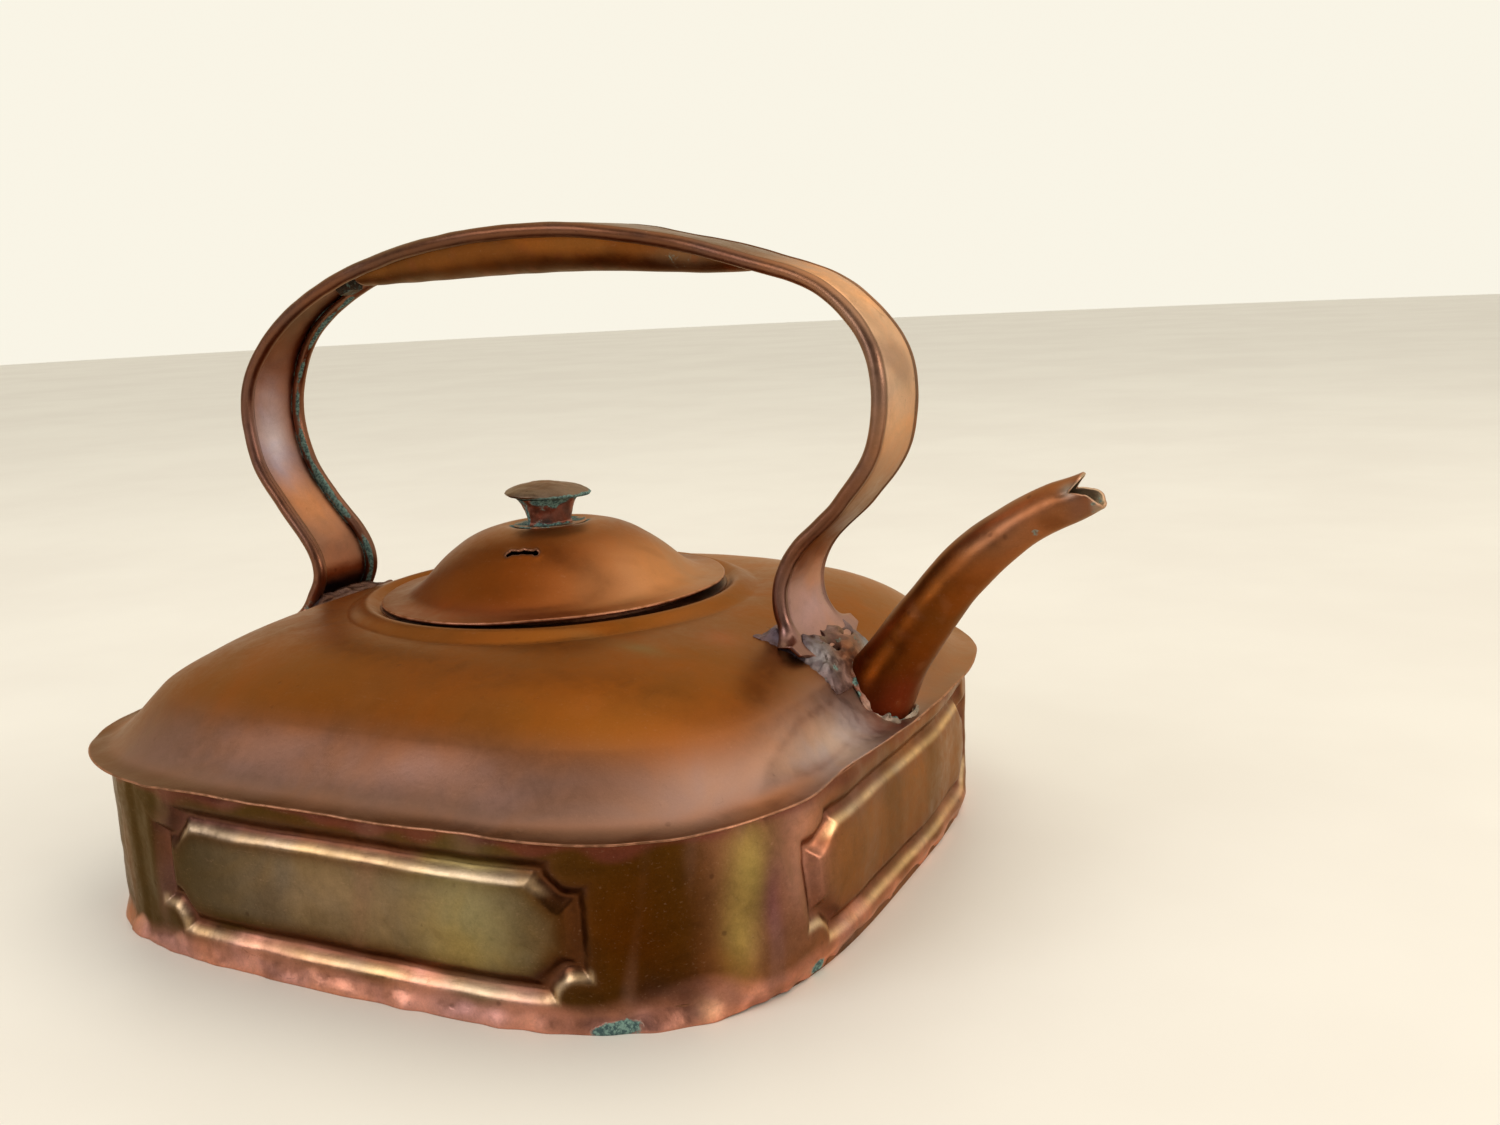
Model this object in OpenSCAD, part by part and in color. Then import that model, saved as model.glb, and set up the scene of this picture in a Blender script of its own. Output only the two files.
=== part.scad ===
// Square copper kettle with a pressed brass-and-copper body, a drop-in lid,
// a strap handle with wired edges and a tapered swan spout.
// Origin: centre of the flat base, on the table. +X towards the spout, +Z up.

/* [Body] */
// Length of the side band, rear to spout side
body_l = 232; // [200:1:260]
// Width of the side band, side to side
body_w = 225; // [195:1:255]
// Squareness of the plan outline (2 is an ellipse, larger is squarer)
corner_power = 3.75; // [3:0.05:5]
// Height of the side band
band_h = 49; // [42:0.5:56]
// Thickness of the sheet metal
sheet_t = 0.9; // [0.8:0.1:1.1]
// Height of the bottom tray's turned-up edge
pan_lip_h = 5; // [4:0.5:6]

/* [Band panels] */
// Half length of a panel on the long sides
panel_half_x = 65; // [50:1:72]
// Half length of a panel on the ends
panel_half_y = 62; // [50:1:68]
// Height of the middle of a panel above the table
panel_z = 25; // [23:0.5:27]
// Half height of a panel, to the middle of its groove
panel_half_z = 14.5; // [11:0.5:15]
// Depth of the pressed groove
groove_d = 2.2; // [1:0.1:3]
// Half width of the pressed groove
groove_half_w = 4; // [3:0.25:4.5]
// Cut across each panel corner
panel_cant = 11; // [6:0.5:13]

/* [Shoulder] */
// How far the shoulder's rim stands out past the band
rim_overhang = 4.6; // [3:0.1:6]
// Height of the dome above its rim
dome_h = 29; // [24:0.5:32]
// Radius where the dome meets the raised rib round the filler
neck_r = 64; // [60:0.5:68]
// Height of the raised rib above the dome
rib_h = 3; // [1.5:0.1:4]

/* [Lid] */
// Radius of the lid's brim
lid_r = 53; // [51:0.1:53.2]
// Depth of the skirt that drops into the filler
skirt_h = 15; // [10:1:18]
// Lean of the lid as it sits, spout side high
lid_lean = 1; // [0:0.1:1.2]
// Radius of the knob's cap
knob_r = 13.4; // [12:0.1:16]

/* [Handle] */
// Width of the strap at its feet
strap_foot_w = 28; // [24:0.5:30]
// Width of the strap half way up each leg
strap_waist_w = 26; // [20:0.5:28]
// Width of the strap at the top corners of the arch
strap_corner_w = 20.5; // [17:0.5:24]
// Width of the strap over the middle of the grip
strap_grip_w = 30; // [26:0.5:36]
// Thickness of the strap
strap_t = 1; // [0.8:0.1:1.2]
// Radius of the wire rolled into each edge
wire_r = 0.9; // [0.7:0.05:1.1]
// Twist of the whole handle about the vertical
handle_skew = -1.8; // [-3:0.1:3]
// Depth of the hollow grip below the strap
grip_d = 13; // [8:0.5:15]

/* [Spout] */
// Radius of the spout at its base
spout_base_r = 11.5; // [10:0.1:12.5]
// Radius of the spout at its mouth
spout_tip_r = 5.8; // [5.2:0.1:7]

/* [Hidden] */
$fn = 96;

copper = [0.66, 0.36, 0.18];
old_copper = [0.42, 0.22, 0.13];
brass = [0.62, 0.50, 0.28];
solder_grey = [0.55, 0.55, 0.52];
verdigris = [0.35, 0.50, 0.45];

around = 96;                 // stations round the body
half_l = body_l / 2;
half_w = body_w / 2;
rim_z = band_h + 0.1;        // underside of the shoulder's rim
lip_end = 0.12;              // part of the shoulder that is flat lip
rib_start = 0.86;            // where the shoulder turns up into the rib
seat_r = lid_r + 0.8;        // inner edge of the shoulder, round the lid
collar_r = lid_r - 5.8;      // bore of the filler
dome_top_z = rim_z + sheet_t + dome_h;
seat_z = dome_top_z + 1.3;   // top of the ledge the lid rests on
lid_z = seat_z + 0.4 + lid_r * sin(lid_lean);
fit_gap = 0.1;               // space between soldered pieces
pan_inset = sheet_t + 0.5;   // from the band's outer face to the pieces inside it

// ---------------------------------------------------------------- helpers
function mix(a, b, t) = a + (b - a) * t;
function clamp01(t) = min(1, max(0, t));
function smooth(t) = let (u = clamp01(t)) u * u * (3 - 2 * u);
function unit(v) = v / norm(v);

// Distance from the centre to a squared outline, in direction a
function outline_r(a, hx, hy, power) =
    pow(pow(abs(cos(a)) / hx, power) + pow(abs(sin(a)) / hy, power), -1 / power);

function outline(hx, hy, power = corner_power, count = around) = [
    for (i = [0 : count - 1])
        let (a = 360 * i / count, r = outline_r(a, hx, hy, power))
            [r * cos(a), r * sin(a)]
];

// A smooth curve through the points of a list, k from 0 to its last index
function curve_at(p, k) =
    let (
        n = len(p) - 1,
        i = min(n - 1, floor(k)),
        t = k - i,
        p1 = p[i],
        p2 = p[i + 1],
        p0 = i > 0 ? p[i - 1] : 2 * p1 - p2,
        p3 = i < n - 1 ? p[i + 2] : 2 * p2 - p1
    )
    0.5 * (2 * p1 + (p2 - p0) * t
        + (2 * p0 - 5 * p1 + 4 * p2 - p3) * t * t
        + (3 * p1 - p0 - 3 * p2 + p3) * t * t * t);

// Skin over a list of loops. Closed joins the last loop to the first one.
// Each loop is a wall's section: out along one face and back along the other,
// so its end is closed by a strip. A hoop is a convex loop, closed by one face.
module skin(loops, closed = false, hoop = false) {
    m = len(loops[0]);
    n = len(loops);
    steps = closed ? n : n - 1;
    walls = [
        for (i = [0 : steps - 1], j = [0 : m - 1], half = [0, 1])
            let (
                a = i * m + j,
                b = i * m + (j + 1) % m,
                c = ((i + 1) % n) * m + (j + 1) % m,
                d = ((i + 1) % n) * m + j
            )
            half == 0 ? [a, c, b] : [a, d, c]
    ];
    end = (n - 1) * m;
    caps = closed ? []
        : hoop ? [[for (j = [0 : m - 1]) j], [for (j = [m - 1 : -1 : 0]) end + j]]
        : [
            for (j = [0 : m / 2 - 2], half = [0, 1])
                let (a = j, b = j + 1, c = m - 2 - j, d = m - 1 - j)
                each half == 0
                    ? [[a, b, c], [end + a, end + c, end + b]]
                    : [[a, c, d], [end + a, end + d, end + c]]
        ];
    polyhedron(points = [for (l = loops) each l], faces = concat(walls, caps), convexity = 8);
}

module squared_ring(hx, hy, wall, h) {
    linear_extrude(h)
        difference() {
            polygon(outline(hx, hy));
            polygon(outline(hx - wall, hy - wall));
        }
}

// ---------------------------------------------------------------- body
// Height of the shoulder's outer face, t from 0 at its rim to 1 at the seat
function shoulder_level(t) =
    let (
        u = clamp01((t - lip_end) / (rib_start - lip_end)),
        v = clamp01((t - rib_start) / (1 - rib_start))
    )
    rim_z + sheet_t + 0.3 * smooth(t / lip_end)
    + (dome_h - 0.3) * pow(1 - pow(1 - u, 1.5), 0.62 + 0.5 * pow(1 - u, 12))
    + (v < 0.62 ? rib_h * smooth(v / 0.62) : mix(rib_h, 1.2, smooth((v - 0.62) / 0.38)));

function shoulder_half(t, half) =
    t < rib_start
        ? mix(half + rim_overhang, neck_r, t / rib_start)
        : mix(neck_r, seat_r, (t - rib_start) / (1 - rib_start));
function shoulder_power(t) =
    t < rib_start ? mix(corner_power, 2, pow(t / rib_start, 6)) : 2;

// Point of the shoulder's outer face in direction a, sunk by depth into the sheet
function shoulder_point(a, t, depth = 0) =
    let (
        e = 0.004,
        r0 = outline_r(a, shoulder_half(t, half_l), shoulder_half(t, half_w), shoulder_power(t)),
        ta = max(0, t - e),
        tb = min(1, t + e),
        ra = outline_r(a, shoulder_half(ta, half_l), shoulder_half(ta, half_w), shoulder_power(ta)),
        rb = outline_r(a, shoulder_half(tb, half_l), shoulder_half(tb, half_w), shoulder_power(tb)),
        along = unit([ra - rb, shoulder_level(ta) - shoulder_level(tb)]),
        r = r0 - depth * abs(along[1]) * (along[1] < 0 ? 1 : -1),
        z = shoulder_level(t) - depth * abs(along[0])
    )
    [r * cos(a), r * sin(a), z];

// Height of the shoulder's outer face above the table at x, y
function shoulder_inside(x, y, t) =
    pow(abs(x) / shoulder_half(t, half_l), shoulder_power(t))
    + pow(abs(y) / shoulder_half(t, half_w), shoulder_power(t)) < 1;
function shoulder_find(x, y, lo, hi, steps) =
    steps == 0 ? (lo + hi) / 2
    : let (mid = (lo + hi) / 2)
        shoulder_inside(x, y, mid) ? shoulder_find(x, y, mid, hi, steps - 1)
        : shoulder_find(x, y, lo, mid, steps - 1);
function shoulder_z(x, y) = shoulder_level(shoulder_find(x, y, 0, 1, 16));

// Stations from rim to seat, closer together where the face bends
shoulder_steps = [
    0, 0.05, 0.11, 0.135, 0.165, 0.21, 0.28, 0.38, 0.5, 0.64, 0.78,
    0.86, 0.9, 0.935, 0.965, 1
];

module shoulder() {
    color(copper)
        difference() {
            skin([
                for (i = [0 : around - 1])
                    let (a = 360 * i / around, last = len(shoulder_steps) - 1)
                    concat(
                        [for (k = [0 : last]) shoulder_point(a, shoulder_steps[k])],
                        [for (k = [last : -1 : 0]) shoulder_point(a, shoulder_steps[k], sheet_t)]
                    )
            ], closed = true);
            spout_bore(spout_base_r - 3);
        }
}

// Groove depth of a panel, u along the side and z up from the table
function panel_groove(u, z, half_u) =
    let (
        du = abs(u) - half_u,
        dz = abs(z - panel_z) - panel_half_z,
        cut = (du + dz + panel_cant) / sqrt(2),
        d = max(du, dz, cut)
    )
    groove_d * (1 - smooth(abs(d) / groove_half_w));

function band_groove(x, y, z) =
    abs(y) / half_w > abs(x) / half_l ? panel_groove(x, z, panel_half_x)
    : panel_groove(y, z, panel_half_y);

// Directions of the stations in a quarter of the band, closer at the panel ends
quarter = [
    0, 9, 16, 20, 22.5, 24.5, 26, 27.5, 29, 30.5, 33, 36, 39, 42, 45,
    48, 51, 53.5, 56, 58, 59.5, 61, 62.5, 64.5, 67, 70.5, 76, 83
];
band_angles = [
    for (q = [0 : 3], i = [0 : len(quarter) - 1])
        q % 2 == 0 ? 90 * q + quarter[i]
        : 90 * (q + 1) - (i == 0 ? 90 : quarter[len(quarter) - i])
];
band_levels = [0, 5.5, 8, 10.5, 13, 16.5, 25, 33.5, 37, 39.5, 42, 45, band_h];

function band_point(a, z, depth) =
    let (
        r = outline_r(a, half_l, half_w, corner_power),
        x = r * cos(a),
        y = r * sin(a),
        g = depth + band_groove(x, y, z)
    )
    abs(y) / half_w > abs(x) / half_l
        ? [x * (1 - depth / half_l), y - g * sign(y), z]
        : [x - g * sign(x), y * (1 - depth / half_w), z];

module side_band() {
    color(brass)
        skin([
            for (a = band_angles)
                let (last = len(band_levels) - 1)
                concat(
                    [for (k = [last : -1 : 0]) band_point(a, band_levels[k], 0)],
                    [for (k = [0 : last]) band_point(a, band_levels[k], sheet_t)]
                )
        ], closed = true);
}

module base_pan() {
    color(old_copper) {
        linear_extrude(sheet_t)
            polygon(outline(half_l - pan_inset, half_w - pan_inset));
        squared_ring(half_l - pan_inset, half_w - pan_inset, sheet_t, pan_lip_h);
    }
}

module base_solder() {
    color(solder_grey)
        translate([0, 0, sheet_t])
            squared_ring(
                half_l - pan_inset - sheet_t - fit_gap,
                half_w - pan_inset - sheet_t - fit_gap, 2.5, 1.2
            );
}

module rim_solder() {
    color(solder_grey)
        translate([0, 0, band_h - 1.6])
            squared_ring(half_l - pan_inset, half_w - pan_inset, 1.6, 1.5);
}

module filler_collar() {
    color(old_copper)
        rotate_extrude()
            polygon([
                [collar_r, seat_z - skirt_h - 2],
                [collar_r + sheet_t, seat_z - skirt_h - 2],
                [collar_r + sheet_t, seat_z - sheet_t],
                [seat_r - fit_gap, seat_z - sheet_t],
                [seat_r - fit_gap, seat_z],
                [collar_r, seat_z]
            ]);
}

// ---------------------------------------------------------------- lid
lid_dome_h = 18.3;           // floor of the dish under the knob, above the brim's edge

// Underside of the spun lid as [radius, height]: dished top, dome, then flat brim
lid_profile = [
    [5, lid_dome_h], [9, 18.4], [11.5, 18.95], [13.5, 19.4], [15.5, 19.35], [18.5, 18.7],
    [22.5, 17.5], [26.5, 15.7], [30, 13.5], [33, 11.4], [35.5, 9.4], [38, 7.1], [40, 5.1],
    [42, 3.3], [44.5, 1.6], [47, 0.7], [50, 0.25], [lid_r, 0]
];
function lid_level(r) = lookup(r, lid_profile);

module lid_frame() {
    translate([0, 0, lid_z])
        rotate([0, -lid_lean, 0])
            children();
}

module lid() {
    color(copper)
        lid_frame()
            difference() {
                rotate_extrude()
                    polygon(concat(
                        [[rivet_r + 0.1, lid_dome_h + sheet_t], [rivet_r + 0.1, lid_dome_h]],
                        lid_profile,
                        [for (k = [len(lid_profile) - 1 : -1 : 0])
                            let (r = lid_profile[k][0]) [r, lid_level(r) + sheet_t * lid_stretch(r)]]
                    ));
                rotate([0, 0, -74])
                    translate([28, 0, lid_dome_h / 2])
                        cube([2.6, 9.6, lid_dome_h * 2], center = true);
            }
}

// The sheet measured straight up is thicker where the lid is steep
function lid_stretch(r) =
    let (slope = (lid_level(r - 0.2) - lid_level(r + 0.2)) / 0.4)
    r > lid_r - 0.5 ? 1 : sqrt(1 + slope * slope);

skirt_r = collar_r - 1.6;
module lid_skirt() {
    color(old_copper)
        lid_frame()
            translate([0, 0, -skirt_h])
                difference() {
                    cylinder(r = skirt_r, h = skirt_h + lid_level(skirt_r) - 0.05);
                    translate([0, 0, -1])
                        cylinder(r = skirt_r - 0.8, h = skirt_h + 5);
                }
}

rivet_r = 1.6;
knob_z = lid_dome_h + sheet_t;
stem_foot_r = 6.5;
stem_top_r = 9.9;
stem_h = 8.4;
washer_t = 0.7;

module knob_washer() {
    color(verdigris)
        lid_frame()
            translate([0, 0, knob_z + 0.02])
                rotate_extrude()
                    polygon([
                        [rivet_r + 0.1, 0],
                        [8.5, 0.1],
                        [10.9, 0.75],
                        [11.2, 1],
                        [10.8, 1.25],
                        [8.5, washer_t],
                        [rivet_r + 0.1, washer_t]
                    ]);
}

module knob_stem() {
    color(old_copper)
        lid_frame()
            translate([0, 0, knob_z + washer_t + 0.04])
                rotate_extrude()
                    polygon([
                        [rivet_r + 0.1, 0],
                        [stem_foot_r + 0.4, 0],
                        [stem_foot_r, 0.8],
                        [stem_foot_r + 0.5, stem_h * 0.45],
                        [stem_top_r - 0.8, stem_h - 0.8],
                        [stem_top_r, stem_h],
                        [rivet_r + 0.1, stem_h]
                    ]);
}

module knob_cap() {
    cap_h = 4.8;
    color(old_copper)
        lid_frame()
            translate([0, 0, knob_z + washer_t + stem_h + 0.06])
                rotate_extrude()
                    polygon(concat(
                        [[0, 1], [rivet_r + 0.1, 1], [rivet_r + 0.1, 0], [stem_top_r, 0]],
                        [[knob_r - 0.6, 0.6], [knob_r, 1.2]],
                        [for (k = [1 : 8])
                            [(knob_r - 0.3) * cos(90 * k / 8), 1.5 + (cap_h - 1.5) * sin(90 * k / 8)]]
                    ));
}

module knob_rivet() {
    color(old_copper)
        lid_frame()
            rotate_extrude()
                polygon([
                    [0, lid_dome_h - 1.6],
                    [3, lid_dome_h - 1.2],
                    [3.6, lid_dome_h - 0.05],
                    [rivet_r, lid_dome_h - 0.05],
                    [rivet_r, knob_z + washer_t + stem_h + 0.9],
                    [0, knob_z + washer_t + stem_h + 0.9]
                ]);
}

// ---------------------------------------------------------------- handle
foot_lift = 1.8;             // middle of the strap above the shoulder at its feet
curl_r = wire_r + strap_t / 2 + 0.15;

// Height of the shoulder under a point given in the handle's own axes
function shoulder_under(x, y) =
    let (c = cos(handle_skew), s = sin(handle_skew))
    shoulder_z(c * x - s * y, s * x + c * y);
function on_shoulder(x) = [x, shoulder_under(x, 0) + foot_lift];

// Middle of the strap from the rear foot over the grip to the front foot
strap_route = [
    on_shoulder(-102), on_shoulder(-97), [-92.3, 76], [-89.2, 83], [-91.9, 91.5], [-103.2, 105],
    [-113, 120.4], [-114.8, 140], [-107.3, 156.8], [-91, 171], [-66, 182], [-36, 188.6],
    [-4, 191.2], [24, 190.7], [50, 186.5], [77, 179.7], [101.6, 169.9], [116.2, 151.3],
    [115.6, 127.6], [104.4, 110.9], [92.1, 99.2], [87, 90], [86.8, 81.6], [90.5, 75],
    on_shoulder(96)
];
strap_stations = 66;
last_knot = len(strap_route) - 1;

function strap_width(z) =
    strap_waist_w + (strap_foot_w - strap_waist_w) * (1 - smooth((z - 75) / 40))
    + (strap_corner_w - strap_waist_w) * smooth((z - 145) / 28)
    + (strap_grip_w - strap_corner_w) * smooth((z - 184.5) / 6.5);

// Frame of the strap at k from 0 to 1: place, outward normal and half width
function strap_frame(k) =
    let (
        p = curve_at(strap_route, k * last_knot),
        t = unit(curve_at(strap_route, min(last_knot, k * last_knot + 0.02))
            - curve_at(strap_route, max(0, k * last_knot - 0.02)))
    )
    [p, [-t[1], t[0]], strap_width(p[1]) / 2];

// How far the edges are rolled round their wires: open at the feet
function strap_roll(k) = smooth((min(k, 1 - k) - 0.06) / 0.06);

// Middle line of half the strap's section, from its centre to its edge,
// as [across, towards the outside], with the rolled edge of constant length
function half_section(half, roll, side) =
    let (
        full = 285,
        angle = max(3, full * roll),
        rr = curl_r * full / angle,
        steps = 7
    )
    concat(
        [[0, side * strap_t / 2]],
        [for (j = [0 : steps])
            let (a = angle * j / steps, r = rr + side * strap_t / 2)
                [half - curl_r + r * sin(a), -rr + r * cos(a)]]
    );

function mirrored(line) = [for (i = [len(line) - 1 : -1 : 1]) [-line[i][0], line[i][1]]];
function backwards(line) = [for (i = [len(line) - 1 : -1 : 0]) line[i]];

function strap_section(half, roll) =
    let (
        inner = half_section(half, roll, -1),
        outer = half_section(half, roll, 1)
    )
    concat(mirrored(inner), inner, backwards(concat(mirrored(outer), outer)));

function handle_point(f, across, out) =
    [f[0][0] + f[1][0] * out, across, f[0][1] + f[1][1] * out];

module handle_frame() {
    rotate([0, 0, handle_skew])
        children();
}

module handle_strap() {
    color(copper)
        handle_frame()
            skin([
                for (i = [0 : strap_stations])
                    let (k = i / strap_stations, f = strap_frame(k))
                    [for (q = strap_section(f[2], strap_roll(k))) handle_point(f, q[0], q[1])]
            ]);
}

module handle_wire(side) {
    first = 0.11;
    steps = 54;
    color(old_copper)
        handle_frame()
            skin([
                for (i = [0 : steps])
                    let (f = strap_frame(mix(first, 1 - first, i / steps)))
                    [for (j = [0 : 7])
                        handle_point(
                            f,
                            side * (f[2] - curl_r) + wire_r * cos(45 * j),
                            -curl_r + wire_r * sin(45 * j)
                        )]
            ], hoop = true);
}

module handle_wire_near() {
    handle_wire(-1);
}

module handle_wire_far() {
    handle_wire(1);
}

grip_from = 0.415;           // rear end of the grip along the strap
grip_to = 0.622;             // front end of the grip
grip_wall = 0.8;

// Section of the hollow grip: a trough hung under the strap
function grip_section(f, s) =
    let (
        swell = pow(sin(180 * clamp01(mix(0.06, 0.94, s))), 0.6),
        half = mix(5, f[2] - 2 * curl_r - 0.6, swell),
        deep = grip_d * swell,
        top = -strap_t / 2 - 0.05,
        n = 10
    )
    concat(
        [for (j = [0 : n]) let (a = 180 * j / n)
            handle_point(f, half * cos(a), top - deep * pow(sin(a), 0.8))],
        [for (j = [n : -1 : 0]) let (a = 180 * j / n)
            handle_point(f, (half - grip_wall) * cos(a),
                top - max(0, deep - grip_wall) * pow(sin(a), 0.8))]
    );

module handle_grip() {
    steps = 20;
    color(copper)
        handle_frame()
            skin([
                for (i = [0 : steps])
                    grip_section(strap_frame(mix(grip_from, grip_to, i / steps)), i / steps)
            ]);
}

module grip_solder(k) {
    f = strap_frame(k);
    color(solder_grey)
        handle_frame()
            translate([f[0][0] - f[1][0] * 1.9, 0, f[0][1] - f[1][1] * 1.9])
                rotate([0, atan2(-f[1][0], f[1][1]) * -1, 0])
                    hull() {
                        translate([-3.2, -3.5, 0.3])
                            cube([6.4, 7, 0.9]);
                        translate([-2.3, -2.8, -2.6])
                            cube([4.6, 5.6, 0.4]);
                    }
}

module grip_solder_front() {
    grip_solder(grip_to + 0.0105);
}

module grip_solder_rear() {
    grip_solder(grip_from - 0.0105);
}

// A thin puddle of solder lying on the shoulder, between x0 and x1
module puddle(x0, x1, half, thick) {
    n = 12;
    m = 20;
    color(solder_grey)
        handle_frame()
            skin([
                for (i = [0 : n])
                    let (
                        s = i / n,
                        x = mix(x0, x1, s),
                        w = half * mix(0.55, 1, sin(180 * s))
                    )
                    concat(
                        [for (j = [0 : m]) let (y = mix(-w, w, j / m))
                            [x, y, shoulder_under(x, y) + 0.05]],
                        [for (j = [m : -1 : 0])
                            let (y = mix(-w, w, j / m), rise = smooth((1 - abs(2 * j / m - 1)) * 4))
                            [x, y, shoulder_under(x, y) + 0.15 + thick * rise * smooth(sin(180 * s) * 3)]]
                    )
            ]);
}

module handle_solder_front() {
    puddle(80, 96.2, 17, 0.6);
}

module handle_solder_rear() {
    puddle(-103, -82, 17, 0.3);
}

module foot_rivets(x) {
    lift = on_shoulder(x)[1];
    color(old_copper)
        handle_frame()
            for (y = [-6, 6])
                translate([x, y, lift + strap_t / 2 + 0.3])
                    rotate([0, sign(x) * 30, 0])
                        rotate_extrude($fn = 24)
                            polygon([[0, 0], [2.1, 0], [1.9, 0.6], [1.1, 1.1], [0, 1.2]]);
}

module handle_rivets_front() {
    foot_rivets(93.5);
}

module handle_rivets_rear() {
    foot_rivets(-97);
}

// ---------------------------------------------------------------- spout
// Middle of the spout from its base to its mouth, as [x, z]
spout_route = [
    [104, 51], [108, 58], [117.2, 72.8], [126.8, 84.7], [136.8, 95.6], [146.8, 103.6], [157.2, 109.7], [167, 114.8]
];
spout_last = len(spout_route) - 1;
spout_wall = 0.9;

function spout_radius(k) = mix(spout_base_r, spout_tip_r, 1 - pow(1 - k, 1.9));

function spout_ring(k, r, sides = 28) =
    let (
        p = curve_at(spout_route, k),
        t = unit(curve_at(spout_route, min(spout_last, k + 0.05))
            - curve_at(spout_route, max(0, k - 0.05)))
    )
    [for (j = [0 : sides - 1]) let (a = 360 * j / sides)
        [p[0] - t[1] * r * sin(a), r * cos(a), p[1] + t[0] * r * sin(a)]];

// Foot of the tube wall: where a line down the spout meets the shoulder
function spout_foot(r, lift, sides = 28) =
    let (ring = spout_ring(2, r, sides), down = unit([9, 0, 15]))
    [for (q = ring) spout_drop(q, down, lift, 0, 40, 14)];
function spout_drop(q, down, lift, lo, hi, steps) =
    steps == 0 ? q - down * (lo + hi) / 2
    : let (mid = (lo + hi) / 2, s = q - down * mid)
        s[2] > shoulder_z(s[0], s[1]) + lift
            ? spout_drop(q, down, lift, mid, hi, steps - 1)
            : spout_drop(q, down, lift, lo, mid, steps - 1);

// Cut of the mouth: a bird's beak with a notch at each side, lower lip longer
notch_d = 4.2;
lower_lip = 1.2;
upper_lip = -1.5;
function mouth_reach(a) =
    notch_d * (pow(abs(sin(a)), 1.4) - 1) + abs(sin(a)) * (sin(a) < 0 ? lower_lip : upper_lip);

function spout_mouth(r, sides = 28) =
    let (ring = spout_ring(spout_last, r, sides), t = unit([10, 0, 5]))
    [for (j = [0 : sides - 1]) ring[j] + t * mouth_reach(360 * j / sides)];

function spout_skin(inset) =
    concat(
        [spout_foot(spout_base_r - inset, 0.25)],
        [for (k = [2 : 0.5 : spout_last - 0.5]) spout_ring(k, spout_radius(k / spout_last) - inset)],
        [spout_mouth(spout_tip_r - inset)]
    );

module spout() {
    outer = spout_skin(0);
    inner = spout_skin(spout_wall);
    color(old_copper)
        skin(concat(outer, [for (i = [len(inner) - 1 : -1 : 0]) inner[i]]), closed = true);
}

// Hole through the shoulder under the spout
module spout_bore(r) {
    translate([spout_route[1][0], 0, spout_route[1][1]])
        rotate([0, atan2(9, 15), 0])
            cylinder(r = r, h = 24, center = true, $fn = 12);
}

module spout_solder() {
    sides = 28;
    wall = spout_foot(spout_base_r + 0.15, 0.1, sides);
    reach = spout_foot(spout_base_r + 2.6, 0.1, sides);
    climb = spout_foot(spout_base_r + 0.15, 2.2, sides);
    color(solder_grey)
        skin([for (j = [0 : sides - 1]) [wall[j], climb[j], reach[j]]], closed = true);
}

// ---------------------------------------------------------------- assembly
base_pan();
base_solder();
side_band();
rim_solder();
shoulder();
filler_collar();
lid();
lid_skirt();
knob_washer();
knob_stem();
knob_cap();
knob_rivet();
handle_strap();
handle_wire_near();
handle_wire_far();
handle_grip();
grip_solder_front();
grip_solder_rear();
handle_solder_front();
handle_solder_rear();
handle_rivets_front();
handle_rivets_rear();
spout();
spout_solder();
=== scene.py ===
"""Square copper kettle: its looks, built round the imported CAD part, in the same frame.

Lengths in the modelling code are millimetres, and become metres when a mesh is made.
"""

import math

import bpy
import numpy as np
from mathutils import Matrix, Vector


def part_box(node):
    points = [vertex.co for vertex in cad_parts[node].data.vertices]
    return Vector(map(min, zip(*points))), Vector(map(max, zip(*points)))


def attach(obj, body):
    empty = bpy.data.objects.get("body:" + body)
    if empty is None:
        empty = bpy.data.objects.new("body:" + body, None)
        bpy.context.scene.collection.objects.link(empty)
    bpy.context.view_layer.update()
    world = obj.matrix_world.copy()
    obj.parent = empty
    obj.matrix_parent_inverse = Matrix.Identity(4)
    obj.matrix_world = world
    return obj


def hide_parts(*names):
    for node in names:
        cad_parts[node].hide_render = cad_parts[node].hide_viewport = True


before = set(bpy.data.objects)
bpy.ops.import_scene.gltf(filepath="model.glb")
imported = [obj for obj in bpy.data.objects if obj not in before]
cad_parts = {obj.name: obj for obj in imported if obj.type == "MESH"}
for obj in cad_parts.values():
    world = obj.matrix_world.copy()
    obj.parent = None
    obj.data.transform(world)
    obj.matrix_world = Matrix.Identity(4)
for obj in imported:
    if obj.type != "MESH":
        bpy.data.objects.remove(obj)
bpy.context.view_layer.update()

MM = 0.001
TAU = 2 * math.pi

# ------------------------------------------------------------------ camera
CAMERA_AT = (244.3, -359.2, 171.1)
HEADING, PITCH, ROLL = (math.radians(v) for v in (26.108, 11.2, -2.753))
LENS = 33.51


def place_camera():
    flat = math.cos(PITCH)
    forward = Vector((-math.sin(HEADING) * flat, math.cos(HEADING) * flat, -math.sin(PITCH)))
    right = Vector((math.cos(HEADING), math.sin(HEADING), 0))
    up = right.cross(forward)
    c, s = math.cos(ROLL), math.sin(ROLL)
    right, up = right * c + up * s, up * c - right * s
    turn = Matrix((right, up, -forward)).transposed().to_4x4()
    data = bpy.data.cameras.new("camera")
    data.lens = LENS
    data.clip_start, data.clip_end = 0.01, 50
    camera = bpy.data.objects.new("camera", data)
    camera.matrix_world = Matrix.Translation(Vector(CAMERA_AT) * MM) @ turn
    bpy.context.scene.collection.objects.link(camera)
    bpy.context.scene.camera = camera


place_camera()


# ------------------------------------------------------------------ numbers
def smooth(t):
    t = np.clip(t, 0, 1)
    return t * t * (3 - 2 * t)


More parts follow.
